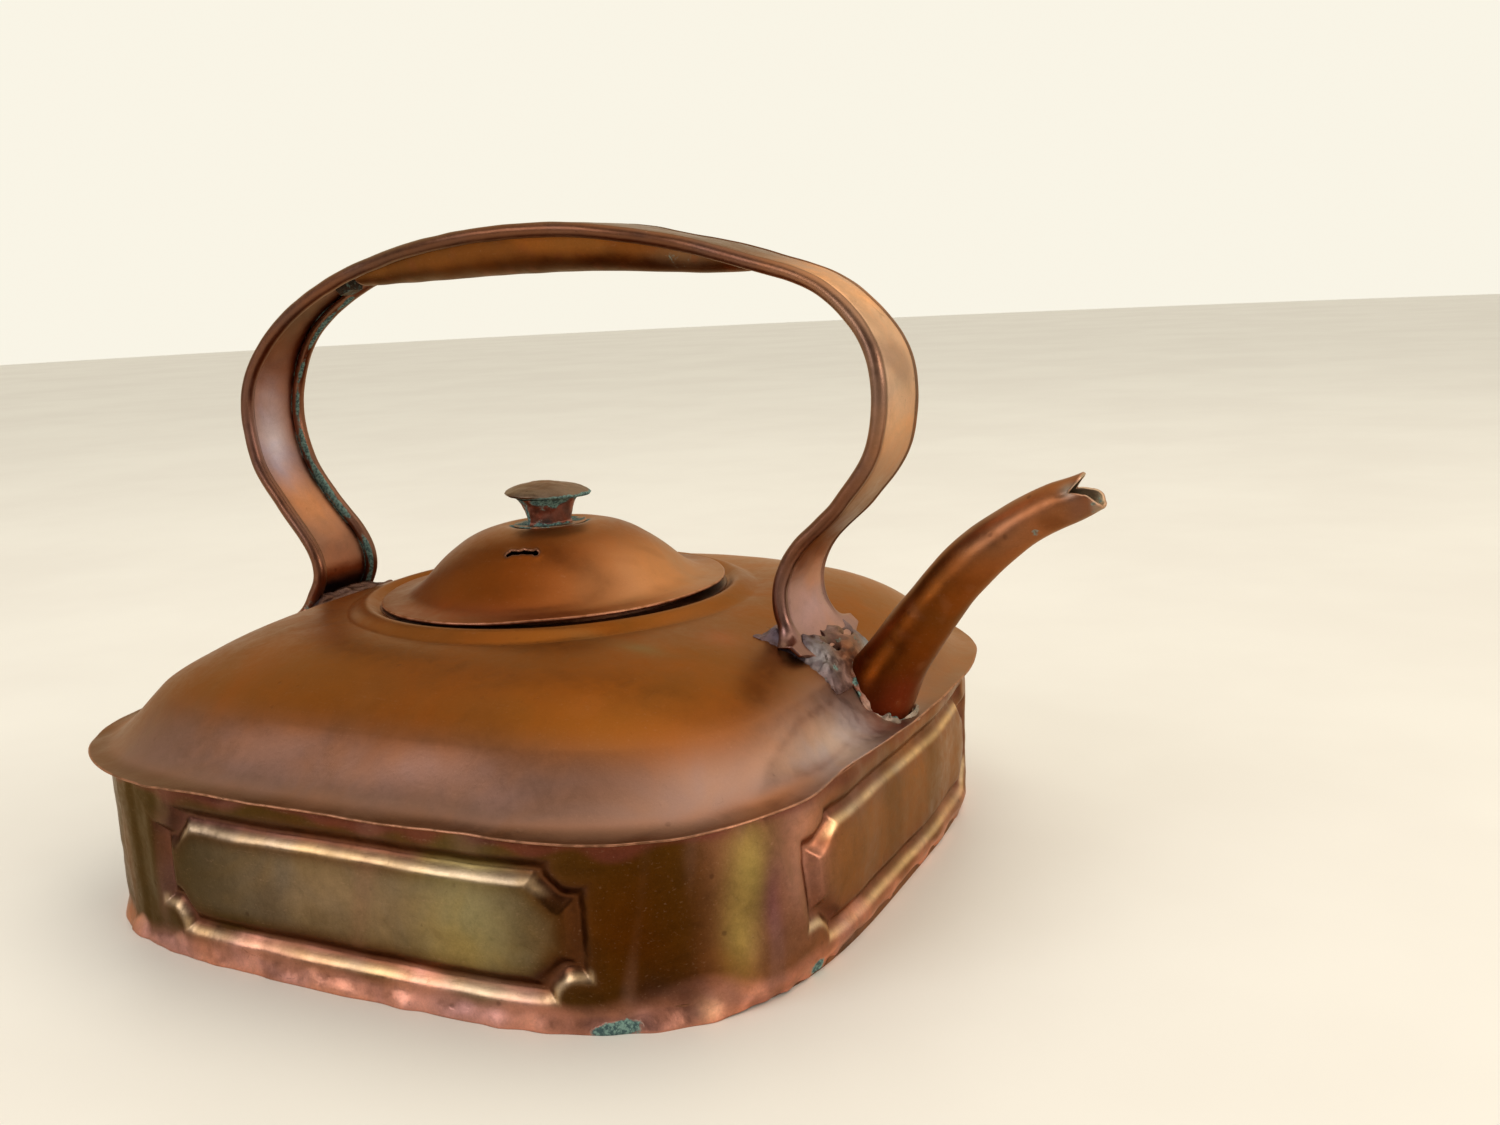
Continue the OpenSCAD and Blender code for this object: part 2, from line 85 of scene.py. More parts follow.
def mix(a, b, t):
    return a + (b - a) * t


def srgb(r, g, b):
    """Linear colour of an ordinary 0-255 one."""
    c = np.array([r, g, b], float) / 255
    return np.where(c > 0.04045, ((c + 0.055) / 1.055) ** 2.4, c / 12.92)


def waves(p, length, seed, count=9):
    """Soft random relief over points p, mostly -1 to 1, with waves about length mm long."""
    rng = np.random.default_rng(seed)
    total = 0.0
    for _ in range(count):
        d = rng.normal(size=3)
        d *= TAU / (np.linalg.norm(d) * length * rng.uniform(0.7, 1.6))
        total = total + np.sin(p @ d + rng.uniform(0, TAU))
    return total / math.sqrt(count)


def blob(p, centre, radius):
    """1 at centre, falling to 0 over radius, one number or three."""
    return np.exp(-(((p - np.array(centre, float)) / radius) ** 2).sum(-1))


def patches(length, seed, level=0.0, spread=1.0, stretch=1):
    """A mask of soft patches about length mm across; a lower level makes more of them."""
    return lambda q: smooth((waves(q * stretch, length, seed) - level) / spread)


def ridge(d, width):
    """1 where the distance d is 0, falling away over width."""
    return np.exp(-((d / width) ** 2))


def line_distance(p, points):
    """Distance of points p from a line through points."""
    best = np.full(p.shape[:-1], 1e9)
    for a, b in zip(np.array(points[:-1], float), np.array(points[1:], float)):
        d = b - a
        t = np.clip((p - a) @ d / (d @ d), 0, 1)
        best = np.minimum(best, np.linalg.norm(p - a - t[..., None] * d, axis=-1))
    return best


def catmull(points, k):
    """Smooth curve through points, at the numbers k from 0 to the last index."""
    p = np.array(points, float)
    n = len(p) - 1
    padded = np.vstack([2 * p[0] - p[1], p, 2 * p[-1] - p[-2]])
    i = np.clip(np.floor(k).astype(int), 0, n - 1)
    t = (k - i)[:, None]
    a, b, c, d = (padded[i + j] for j in range(4))
    cubic = (2 * a - 5 * b + 4 * c - d) * t**2 + (3 * b - a - 3 * c + d) * t**3
    return 0.5 * (2 * b + (c - a) * t + cubic)


def along_route(points, k, step):
    """Places and directions on the smooth curve through points, at the numbers k."""
    ahead = catmull(points, np.minimum(len(points) - 1, k + step))
    behind = catmull(points, np.maximum(0, k - step))
    return catmull(points, k), unit(ahead - behind)


# ------------------------------------------------------------------ meshes
def unit(v):
    return v / np.maximum(np.linalg.norm(v, axis=-1, keepdims=True), 1e-9)


def grid_normals(p, wrap):
    """Unit normals of a grid of points, across its first step then its second."""
    if wrap:
        du = np.roll(p, -1, 0) - np.roll(p, 1, 0)
    else:
        du = np.gradient(p, axis=0)
    dv = np.gradient(p, axis=1)
    return unit(np.cross(du, dv))


def grid_quads(nu, nv, wrap):
    i = np.arange(nu if wrap else nu - 1)
    j = np.arange(nv - 1)
    i, j = (m.ravel() for m in np.meshgrid(i, j, indexing="ij"))
    k = (i + 1) % nu
    return np.stack([i * nv + j, k * nv + j, k * nv + j + 1, i * nv + j + 1], 1)


def make_mesh(name, points, faces, values):
    """A smooth mesh object from points in mm, faces of one size a list, and values per point."""
    mesh = bpy.data.meshes.new(name)
    faces = [np.asarray(f) for f in faces if len(f)]
    loops = np.concatenate([f.ravel() for f in faces])
    sizes = np.concatenate([np.full(len(f), f.shape[1]) for f in faces])
    mesh.vertices.add(len(points))
    mesh.vertices.foreach_set("co", (points * MM).astype(np.float32).ravel())
    mesh.loops.add(len(loops))
    mesh.loops.foreach_set("vertex_index", loops.astype(np.int32))
    mesh.polygons.add(len(sizes))
    starts = np.concatenate([[0], np.cumsum(sizes)[:-1]])
    mesh.polygons.foreach_set("loop_start", starts.astype(np.int32))
    mesh.polygons.foreach_set("loop_total", sizes.astype(np.int32))
    mesh.polygons.foreach_set("use_smooth", np.ones(len(sizes), bool))
    mesh.update(calc_edges=True)
    for key, value in values.items():
        if value.ndim == 2:
            attribute = mesh.attributes.new(key, "FLOAT_COLOR", "POINT")
            opaque = np.concatenate([value, np.ones((len(value), 1))], 1)
            attribute.data.foreach_set("color", opaque.astype(np.float32).ravel())
        else:
            attribute = mesh.attributes.new(key, "FLOAT", "POINT")
            attribute.data.foreach_set("value", value.astype(np.float32))
    mesh.validate()
    obj = bpy.data.objects.new(name, mesh)
    bpy.context.scene.collection.objects.link(obj)
    return obj


def open_edges(quads, count):
    """Ends a, b of the edges that only one quad uses, over count points."""
    a, b = quads.ravel(), np.roll(quads, -1, 1).ravel()
    key = np.minimum(a, b) * count + np.maximum(a, b)
    _, back, times = np.unique(key, return_inverse=True, return_counts=True)
    alone = times[back] == 1
    return a[alone], b[alone]


def shell(name, outer, thick, paint, side=1, wrap=True, hole=None):
    """Sheet metal: a grid of points on its outer face, thick mm to its inner face.

    side 1 or -1 says which way is out, hole gives a signed distance that is negative
    where the sheet is open, and paint gives colours for points, depth 0 out to 1 in.
    """
    nu, nv = outer.shape[:2]
    normal = side * grid_normals(outer, wrap)
    p = outer.reshape(-1, 3)
    n = normal.reshape(-1, 3)
    quads = grid_quads(nu, nv, wrap)
    if hole is not None:
        quads = quads[hole(p[quads].mean(1)) > 0]
    count = len(p)
    a, b = open_edges(quads, count)
    if hole is not None:
        p = snap_to_hole(p, np.unique(np.concatenate([a, b])), hole)
    away = np.zeros_like(p)
    step = unit(np.cross(p[b] - p[a], n[a])) * side
    np.add.at(away, a, step)
    np.add.at(away, b, step)
    used = np.unique(np.concatenate([a, b]))
    index = np.full(count, -1)
    index[used] = np.arange(len(used)) + 2 * count
    thick = np.broadcast_to(thick, outer.shape[:2]).reshape(-1, 1)
    inner = p - n * thick
    middle = (p + inner)[used] / 2 + unit(away)[used] * thick[used] * 0.42
    outer_quads = quads if side > 0 else quads[:, ::-1]
    wall_a, wall_b = (a, b) if side > 0 else (b, a)
    half_a, half_b = index[wall_a], index[wall_b]
    walls = np.concatenate([
        np.stack([wall_b, wall_a, half_a, half_b], 1),
        np.stack([half_b, half_a, wall_a + count, wall_b + count], 1),
    ])
    points = np.concatenate([p, inner, middle])
    depth = np.concatenate([np.zeros(count), np.ones(count), np.full(len(used), 0.5)])
    faces = np.concatenate([outer_quads, outer_quads[:, ::-1] + count, walls])
    values = paint(points, depth)
    worn = np.zeros(count)
    worn[used] = 0.6
    values["worn"] = np.maximum(values["worn"], np.concatenate([worn, worn, np.ones(len(used))]))
    return keep_used(name, points, [faces], values)


def snap_to_hole(p, loose, hole):
    """Moves the loose edge points that lie near a hole's outline onto it."""
    q = p[loose]
    gap = hole(q)
    near = np.abs(gap) < 1.2
    q, gap = q[near], gap[near]
    h = 0.02
    slope = np.stack([(hole(q + h * e) - hole(q - h * e)) / (2 * h) for e in np.eye(3)], 1)
    steep = np.maximum((slope**2).sum(1, keepdims=True), 0.2)
    p = p.copy()
    p[loose[near]] = q - slope * gap[:, None] / steep
    return p


def keep_used(name, points, faces, values):
    """make_mesh without the points that no face uses."""
    used = np.unique(np.concatenate([f.ravel() for f in faces]))
    index = np.full(len(points), -1)
    index[used] = np.arange(len(used))
    values = {k: v[used] for k, v in values.items()}
    return make_mesh(name, points[used], [index[f] for f in faces], values)


def ring_quads(n, m):
    """Faces round a tube of n closed rings of m points."""
    i, j = (q.ravel() for q in np.meshgrid(np.arange(n - 1), np.arange(m), indexing="ij"))
    k = (j + 1) % m
    return np.stack([i * m + j, (i + 1) * m + j, (i + 1) * m + k, i * m + k], 1)[:, ::-1]


def loft(name, rings, paint):
    """A solid strip. Each ring of points runs out along one face and back along the other."""
    n, m = rings.shape[:2]
    p = rings.reshape(-1, 3)
    h = np.arange(m // 2 - 1)
    cap = np.stack([h, h + 1, m - 2 - h, m - 1 - h], 1)
    end = cap[:, ::-1] + (n - 1) * m
    return make_mesh(name, p, [ring_quads(n, m), cap, end], paint(p, np.zeros(len(p))))


def rod(name, rings, paint):
    """A round rod through rings of points, with a fan at each end."""
    n, m = rings.shape[:2]
    p = np.concatenate([rings.reshape(-1, 3), rings[[0, -1]].mean(1)])
    j = np.arange(m)
    k = (j + 1) % m
    first = np.stack([j, k, np.full(m, n * m)], 1)[:, ::-1]
    last = np.stack([j + (n - 1) * m, k + (n - 1) * m, np.full(m, n * m + 1)], 1)
    return make_mesh(name, p, [ring_quads(n, m), first, last], paint(p, np.zeros(len(p))))


def lathe(name, profile, paint, wobble, seed, count=160, move=None):
    """A solid turned about Z from a profile of (radius, height), first and last on the axis."""
    corners = np.array(profile, float)
    steps = np.linspace(0, 1, 7)[:-1, None]
    runs = [mix(a, b, steps) for a, b in zip(corners[:-1], corners[1:])]
    dense = np.concatenate(runs + [corners[-1:]])
    a = np.arange(count) * TAU / count
    r, z = dense[1:-1].T
    p = np.stack([np.outer(np.cos(a), r), np.outer(np.sin(a), r), np.outer(np.ones(count), z)], 2)
    n = -grid_normals(p, True)
    p = p + n * (waves(p, 9, seed) * 0.7 + waves(p, 3, seed + 1) * 0.3)[..., None] * wobble
    m = len(r)
    flat = p.reshape(-1, 3)
    points = np.concatenate([flat, [[0, 0, dense[0][1]], [0, 0, dense[-1][1]]]])
    if move is not None:
        points = move(points)
    quads = grid_quads(count, m, True)
    i = np.arange(count)
    k = (i + 1) % count
    low = np.stack([k * m, i * m, np.full(count, len(flat))], 1)
    high = np.stack([i * m + m - 1, k * m + m - 1, np.full(count, len(flat) + 1)], 1)
    return make_mesh(name, points, [quads, low, high], paint(points, np.zeros(len(points))))


# ------------------------------------------------------------------ paint
GAIN = 1.35  # share of white light that reaches the metal is about 1 / GAIN


def paint_with(base, strokes=(), extra=None, inside=None):
    """Colours for points: a base colour, then strokes of (mask, colour, strength).

    A mask is a function of the points, or a (centre, radius) blob. Green is verdigris.
    """

    def run(p, depth):
        tint = np.tile(srgb(*base), (len(p), 1))
        for mask, colour, strength in strokes:
            m = mask(p) if callable(mask) else blob(p, *mask)
            m = np.clip(m * strength, 0, 1)[:, None]
            tint = mix(tint, srgb(*colour), m)
        values = {
            "tint": tint * GAIN,
            "green": np.zeros(len(p)),
            "dull": np.zeros(len(p)),
            "worn": np.zeros(len(p)),
        }
        if extra:
            for key, fn in extra.items():
                values[key] = np.clip(fn(p), 0, 1)
        if inside is not None:
            t = smooth(depth * 2)[:, None]
            values["tint"] = mix(values["tint"], srgb(*inside) * GAIN, t)
        return values

    return run


# ------------------------------------------------------------------ materials
class Nodes:
    """Short names for the nodes that the materials and the world share."""

    def __init__(self, owner, shader="Principled BSDF", coordinates="Object"):
        owner.use_nodes = True
        self.owner = owner
        self.tree = owner.node_tree
        self.shader = self.tree.nodes[shader]
        self.place = self.add("ShaderNodeTexCoord").outputs[coordinates]

    def add(self, kind, **values):
        node = self.tree.nodes.new(kind)
        for key, value in values.items():
            setattr(node, key, value)
        return node

    def plug(self, value, socket):
        if isinstance(value, bpy.types.NodeSocket):
            self.tree.links.new(value, socket)
        else:
            socket.default_value = value

    def attribute(self, name, output):
        return self.add("ShaderNodeAttribute", attribute_name=name).outputs[output]

    def math(self, operation, a, b=0.0, clamp=False):
        node = self.add("ShaderNodeMath", operation=operation, use_clamp=clamp)
        self.plug(a, node.inputs[0])
        self.plug(b, node.inputs[1])
        return node.outputs[0]

    def stretched(self, scale, turn=(0, 0, 0)):
        node = self.add("ShaderNodeMapping")
        self.plug(self.place, node.inputs["Vector"])
        node.inputs["Scale"].default_value = scale
        node.inputs["Rotation"].default_value = turn
        return node.outputs[0]

    def noise(self, length, detail=4, rough=0.55, twist=0.0, place=None):
        """Noise with features about length mm long."""
        node = self.add("ShaderNodeTexNoise")
        self.plug(place or self.place, node.inputs["Vector"])
        node.inputs["Scale"].default_value = 1000 / length if place is None else 1 / length
        node.inputs["Detail"].default_value = detail
        node.inputs["Roughness"].default_value = rough
        node.inputs["Distortion"].default_value = twist
        return node.outputs["Fac"]

    def cells(self, length):
        node = self.add("ShaderNodeTexVoronoi")
        self.plug(self.place, node.inputs["Vector"])
        node.inputs["Scale"].default_value = 1000 / length
        return node.outputs["Distance"]

    def ramp(self, value, low, high, to_low=0.0, to_high=1.0):
        node = self.add("ShaderNodeMapRange", interpolation_type="SMOOTHSTEP")
        self.plug(value, node.inputs["Value"])
        node.inputs["From Min"].default_value, node.inputs["From Max"].default_value = low, high
        node.inputs["To Min"].default_value, node.inputs["To Max"].default_value = to_low, to_high
        return node.outputs[0]

    def mix(self, factor, a, b, blend="MIX"):
        node = self.add("ShaderNodeMix", data_type="RGBA", blend_type=blend)
        self.plug(factor, node.inputs[0])
        self.plug(a, node.inputs[6])
        self.plug(b, node.inputs[7])
        return node.outputs[2]


def rgba(*colour, gain=1.0):
    return (*(srgb(*colour) * gain), 1)


def old_metal(
    name,
    warm=(1.12, 0.98, 0.86),
    cool=(0.9, 0.95, 1.1),
    tint=None,
    mottle=0.2,
    gloss=(0.36, 0.5),
    streak=0.1,
    spots=0.3,
    bump=0.4,
    patina=0.0,
):
    """Handled, tarnished metal. Its colour is tint, or else the one painted on the mesh."""
    n = Nodes(bpy.data.materials.new(name))
    n.shader.inputs["Specular Tint"].default_value = (0.9, 0.77, 0.62, 1)
    base = n.attribute("tint", "Color") if tint is None else rgba(*tint, gain=GAIN)
    broad = n.noise(34, 3, 0.6, 0.6)
    cloud = n.noise(9, 5, 0.62, 0.9)
    fleck = n.noise(2.2, 4, 0.65)
    grain = n.noise(0.55, 3, 0.7)
    # slow drift between warmer and cooler tarnish, then lighter and darker clouds
    shift = n.mix(n.ramp(broad, 0.35, 0.65), (*cool, 1), (*warm, 1))
    colour = n.mix(1.0, base, shift, "MULTIPLY")
    tone = n.math("ADD", n.ramp(cloud, 0.3, 0.7, -0.5, 0.5), n.ramp(fleck, 0.3, 0.7, -0.3, 0.3))
    tone = n.math("ADD", tone, n.ramp(grain, 0.3, 0.7, -0.16, 0.16))
    tone = n.math("ADD", n.math("MULTIPLY", tone, mottle), 1.0)
    grey = n.add("ShaderNodeCombineColor")
    for socket in grey.inputs[:3]:
        n.plug(tone, socket)
    colour = n.mix(1.0, colour, grey.outputs[0], "MULTIPLY")
    # faint wiping marks along two directions
    along = n.noise(1, 3, 0.6, place=n.stretched((60, 1600, 1600), (0.2, 0.5, 0.6)))
    over = n.noise(1, 3, 0.6, place=n.stretched((1500, 90, 1500), (0.5, 0.1, 0.2)))
    wipe = n.ramp(n.math("MULTIPLY", along, over), 0.3, 0.5, 0.0, streak)
    colour = n.mix(wipe, colour, rgba(214, 170, 140))
    # small dark pits and stains
    pit = n.math("MULTIPLY", n.ramp(n.cells(7.5), 0.05, 0.13, 1, 0), n.ramp(n.noise(21), 0.5, 0.6))
    stain = n.ramp(n.noise(5, 6, 0.7, 1.5), 0.63, 0.72)
    dark = n.math("MULTIPLY", n.math("MAXIMUM", pit, stain), spots)
    colour = n.mix(dark, colour, rgba(48, 26, 18))
    # worn, brighter metal on sharp outward edges
    worn = n.math("MULTIPLY", n.attribute("worn", "Fac"), n.ramp(n.noise(3, 4), 0.35, 0.6, 0.1, 0.7))
    colour = n.mix(worn, colour, rgba(196, 138, 108))
    rough = n.math("ADD", n.math("MULTIPLY", cloud, 0.6), n.math("MULTIPLY", fleck, 0.4))
    rough = n.ramp(rough, 0.35, 0.65, *gloss)
    rough = n.math("ADD", rough, n.math("MULTIPLY", n.attribute("dull", "Fac"), 0.3), clamp=True)
    # verdigris where the mesh says green, broken up by noise
    green = n.math("ADD", n.attribute("green", "Fac"), n.math("MULTIPLY", n.noise(1.6, 5, 0.7), 0.9))
    green = n.math("ADD", green, patina)
    green = n.ramp(green, 0.86, 1.12)
    crust = n.mix(n.ramp(n.noise(0.8, 4), 0.4, 0.62), rgba(58, 84, 84), rgba(118, 150, 138))
    colour = n.mix(green, colour, crust)
    n.plug(colour, n.shader.inputs["Base Color"])
    n.plug(n.math("SUBTRACT", 1.0, green), n.shader.inputs["Metallic"])
    n.plug(n.math("MAXIMUM", rough, n.math("MULTIPLY", green, 0.9)), n.shader.inputs["Roughness"])
    height = n.math("ADD", n.math("MULTIPLY", cloud, 0.5), n.math("MULTIPLY", fleck, 0.25))
    height = n.math("ADD", height, n.math("MULTIPLY", grain, 0.06))
    height = n.math("SUBTRACT", height, n.math("MULTIPLY", pit, 0.3))
    height = n.math("ADD", height, n.math("MULTIPLY", green, 0.5))
    node = n.add("ShaderNodeBump")
    node.inputs["Strength"].default_value = bump
    node.inputs["Distance"].default_value = 0.0004
    n.plug(height, node.inputs["Height"])
    n.plug(node.outputs[0], n.shader.inputs["Normal"])
    return n.owner


# the shoulder and the lid are the same calm, handled copper
SMOOTH_COPPER = {
    "warm": (1.06, 0.99, 0.9), "cool": (0.95, 0.98, 1.05), "gloss": (0.36, 0.46),
    "mottle": 0.1, "spots": 0.2, "bump": 0.3,
}


def finish_piece(obj, material, node, body="kettle"):
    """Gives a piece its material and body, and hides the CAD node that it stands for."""
    obj.data.materials.append(material)
    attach(obj, body)
    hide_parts(node)


# ------------------------------------------------------------------ measures, from the CAD
HALF_L, HALF_W, BAND_H = np.array(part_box("side_band")[1]) / MM
SHEET = 0.9
LID_R = 53.0
RIM_OVERHANG = 4.6
DOME_H = 29.0
NECK_R = 64.0
RIB_H = 3.0
SEAT_R = LID_R + 0.8
RIM_Z = BAND_H + 0.1
LIP_END = 0.12
RIB_START = 0.86
SQUARE = 3.75


def outline_radius(a, hx, hy, power=SQUARE):
    """Radius at angle a of the rounded square that is hx and hy to its sides."""
    reach = (np.abs(np.cos(a)) / hx) ** power + (np.abs(np.sin(a)) / hy) ** power
    return reach ** (-1 / power)


# ------------------------------------------------------------------ side band
PANEL_Z = 25.0
GROOVE_D = 2.3
GROOVE_W = 4.3


def blend(a, b, k):
    """The smaller of two distances, rounded over k where they meet."""
    h = np.clip(0.5 + 0.5 * (b - a) / k, 0, 1)
    return mix(b, a, h) - k * h * (1 - h)


def panel_distance(u, z, half_u):
    """Signed distance in mm from a panel's outline, which steps in near each corner."""
    u, z = np.abs(u) - half_u, np.abs(z - PANEL_Z) - 14.6
    long_part = np.maximum(u, z + 6.1)
    tall_part = np.maximum(u + 8.5, z)
    canted = np.maximum(np.maximum(u, z), (u + z + 9.5) / math.sqrt(2))
    return blend(blend(long_part, tall_part, 1.2), canted, 1.2)


def band_distance(p):
    """Signed distance of points of the band from their own side's panel outline."""
    x, y, z = p[..., 0], p[..., 1], p[..., 2]
    ends = np.abs(y) / HALF_W <= np.abs(x) / HALF_L
    return panel_distance(np.where(ends, y, x - 6.5), z, np.where(ends, 62.0, 64.5))


CREASE = [(107, -79.5, 47), (109, -74.3, 35), (111.5, -68, 17)]


def side_band():
    a = np.arange(1320) * TAU / 1320
    z = np.linspace(0.15, BAND_H, 120)
    r = outline_radius(a, HALF_L, HALF_W)
    p = np.empty((len(a), len(z), 3))
    p[..., 0] = (r * np.cos(a))[:, None]
    p[..., 1] = (r * np.sin(a))[:, None]
    p[..., 2] = z
    n = grid_normals(p, True)
    d = band_distance(p)
    groove = GROOVE_D * (1 - smooth(np.abs(d) / GROOVE_W)) ** 1.2
    crown = 0.7 * smooth(-d / 14)
    out = crown + 0.27 * ridge(d - 6, 2.2) - groove
    out += waves(p, 46, 3) * 0.4 + waves(p, 15, 4) * 0.14 + waves(p, 6, 5) * 0.035
    near = HALF_W - 1
    dents = [
        ((-8, -near, 25), 6, -0.7), ((-4, -near, 22), 4, 0.35), ((18.6, -near, 21), 2, -0.35),
        ((33.6, -near, 20), 2.2, -0.4), ((58.9, -110, 20), 3.2, -0.9), ((53, -110, 27), 9, 0.5),
        ((-40, -near, 30), 14, -0.5), ((96, -95, 7), 8, -1.6), ((86, -101, 11), 9, -1.4),
        ((104, -84, 12), 7, 1.1), ((107, -80, 26), 7, -1.2), ((113, -62, 34), 7, -1.0),
        ((100, -90, 34), 12, 0.8), ((115, -20, 26), 16, -0.6), ((115, 22, 30), 12, 0.4),
        ((97.4, -92.5, 3.3), 4, 0.9), ((114, 30, 20), 6, -0.5),
        ((-112, 30, 24), 14, -0.8), ((20, 111, 28), 18, -0.7), ((-60, 111, 20), 9, 0.5),
        ((-96, 92, 30), 10, -0.8), ((96, 92, 18), 12, -0.9),
    ]
    for at, radius, depth in dents:
        out += blob(p, at, radius) * depth
    out += 0.9 * ridge(line_distance(p, CREASE), 2.4) - 0.7 * blob(p, (112, -66, 30), (9, 10, 14))
    # lapped seam at the rear of the near side
    turn = np.degrees(a)[:, None] - 232
    out += 0.5 * smooth(turn / 0.25) * (1 - smooth((turn - 3.2) / 2.0)) * np.ones_like(out)
    # the bottom edge is hammered over the pan in small crimps
    low = smooth((5.2 - p[..., 2]) / 5.2)
    crimp = waves(p * (1, 1, 0.2), 7, 8) * 0.35 + waves(p * (1, 1, 0.2), 19, 9) * 0.4
    near_side = smooth((-p[..., 1] / HALF_W - 0.72) / 0.16)
    out += low * mix(-1.3 + crimp, 1.5 + crimp * 0.6, near_side)
    out -= 2.2 * blob(p, (-112, -82, 25), (26, 22, 40))
    out += smooth((p[..., 2] - 45.5) / 3.5) * (-0.25 + 0.25 * waves(p, 24, 12))
    p = p + n * out[..., None]
    edge = smooth((2.6 - p[..., 2]) / 2.6)
    raised = np.clip(0.35 + waves(p, 9, 10) * 0.35 + waves(p, 30, 13) * 0.3, 0, 1.5)
    p[..., 2] = np.maximum(p[..., 2] + edge * raised * (1 - near_side), 0.02)

    def panel(q):
        return smooth((-band_distance(q) - 3) / 5)

    def furrow(q):
        return ridge(band_distance(q), 3.6)

    def side_is(q, axis, sign):
        """Share of the side that faces along axis (0 or 1), blended round the corners."""
        end = smooth((np.abs(q[..., 0]) / HALF_L - np.abs(q[..., 1]) / HALF_W) / 0.16 + 0.5)
        return (end if axis == 0 else 1 - end) * (q[..., axis] * sign > 0)

    def front_or_far(q):
        return side_is(q, 0, 1) + side_is(q, 1, 1)

    def lit_or_shaded_wall(q, way):
        """1 on the groove walls that face up (way 1), which get a painted highlight, or down (way -1),
        which get painted shade.
        """
        d = band_distance(q) * np.where(q[..., 2] > PANEL_Z, -1, 1) * way
        return ridge(d - 2.7, 0.9) * smooth((np.abs(q[..., 2] - PANEL_Z) - 8) / 3)

    strokes = [
        (front_or_far, (116, 74, 50), 0.9),
        (lambda q: side_is(q, 0, -1), (80, 50, 26), 0.8),
        (lambda q: panel(q) * side_is(q, 1, -1), (97, 82, 60), 0.9),
        (lambda q: panel(q) * front_or_far(q), (112, 74, 44), 0.8),
        (lambda q: panel(q) * side_is(q, 0, -1), (110, 86, 52), 0.9),
        (((-60, -112, 27), (32, 14, 24)), (44, 32, 9), 0.92),
        # painted reflection: a pale yellow patch on the near side
        (((44, -111, 24), (15, 12, 16)), (142, 130, 82), 0.7),
        (((5, -112, 26), (26, 12, 9)), (122, 106, 88), 0.5),
        (lambda q: furrow(q) * smooth(waves(q, 30, 21) + 1.4), (86, 50, 42), 0.7),
        (((84, -101, 26), (26, 26, 24)), (66, 34, 3), 0.95),
        (((105, -82.6, 36), (5, 6, 12)), (150, 128, 66), 0.8),
        (((103, -86, 20), (4, 5, 12)), (132, 112, 58), 0.7),
        (((108, -77, 25), (2.6, 3, 12)), (112, 66, 66), 0.85),
        (((112.5, -66, 36), (5, 8, 12)), (168, 122, 106), 0.8),
        (((-106, -76, 26), (34, 40, 44)), (36, 21, 4), 0.97),
        (lambda q: smooth((q[..., 2] - 44) / 3 + 0.5 * waves(q, 14, 22)), (92, 46, 38), 0.7),
        # painted highlight on the groove walls that face up, painted shade on those that face down
        (lambda q: lit_or_shaded_wall(q, 1), (206, 178, 138), 0.6),
        (lambda q: lit_or_shaded_wall(q, -1), (60, 34, 26), 0.6),
        (lambda q: smooth((4.6 - q[..., 2]) / 3 + 0.7 * waves(q, 11, 23)), (214, 160, 142), 0.65),
        (lambda q: smooth((9 - q[..., 2]) / 6 + 0.4 * waves(q, 25, 24)), (180, 124, 106), 0.65),
        (((94, -95.7, 6.9), (6, 6, 5)), (52, 30, 24), 0.75),
        (((86.4, -101, 9), (5, 5, 4)), (54, 32, 24), 0.7),
        (((97.4, -92.5, 3.3), (3, 3, 2.5)), (226, 176, 148), 0.8),
        (patches(13, 25, 0.5, 1.2, (1, 1, 0.25)), (116, 84, 70), 0.35),
        (patches(21, 26, 0.4, 1.2, (1, 1, 0.3)), (60, 42, 24), 0.35),
    ]
    green = [
        ((80.7, -103.9, 1.6), (4.5, 5, 2.2)), ((112.6, -61.6, 2), (3, 3, 2.4)),
        ((76, -106, 0.8), (3, 3, 1.5)), ((-60, 111, 2), (5, 4, 2)), ((-112, -40, 1.5), (3, 4, 1.6)),
    ]
    paint = paint_with(
        (66, 44, 13),
        strokes,
        {"green": lambda q: sum(blob(q, *g) for g in green) * 1.1},
        inside=(96, 72, 56),
    )
    obj = shell("side_band_pressed", p, SHEET, paint)
    metal = old_metal(
        "band_brass_and_copper", warm=(1.1, 1.0, 0.82), cool=(0.92, 0.95, 1.06),
        gloss=(0.28, 0.44), mottle=0.26, spots=0.4, streak=0.1, bump=0.45,
    )
    finish_piece(obj, metal, "side_band")


side_band()


# ------------------------------------------------------------------ shoulder
def shoulder_level(t):
    u = np.clip((t - LIP_END) / (RIB_START - LIP_END), 0, 1)
    v = np.clip((t - RIB_START) / (1 - RIB_START), 0, 1)
    dome = (1 - (1 - u) ** 1.5) ** (0.62 + 0.5 * (1 - u) ** 12)
    rib = np.where(v < 0.62, RIB_H * smooth(v / 0.62), mix(RIB_H, 1.2, smooth((v - 0.62) / 0.38)))
    return RIM_Z + SHEET + 0.3 * smooth(t / LIP_END) + (DOME_H - 0.3) * dome + rib


def shoulder_half(t, half):
    dome = mix(half + RIM_OVERHANG, NECK_R, t / RIB_START)
    return np.where(t < RIB_START, dome, mix(NECK_R, SEAT_R, (t - RIB_START) / (1 - RIB_START)))


def shoulder_power(t):
    return np.where(t < RIB_START, mix(SQUARE, 2.0, np.minimum(1, t / RIB_START) ** 6), 2.0)


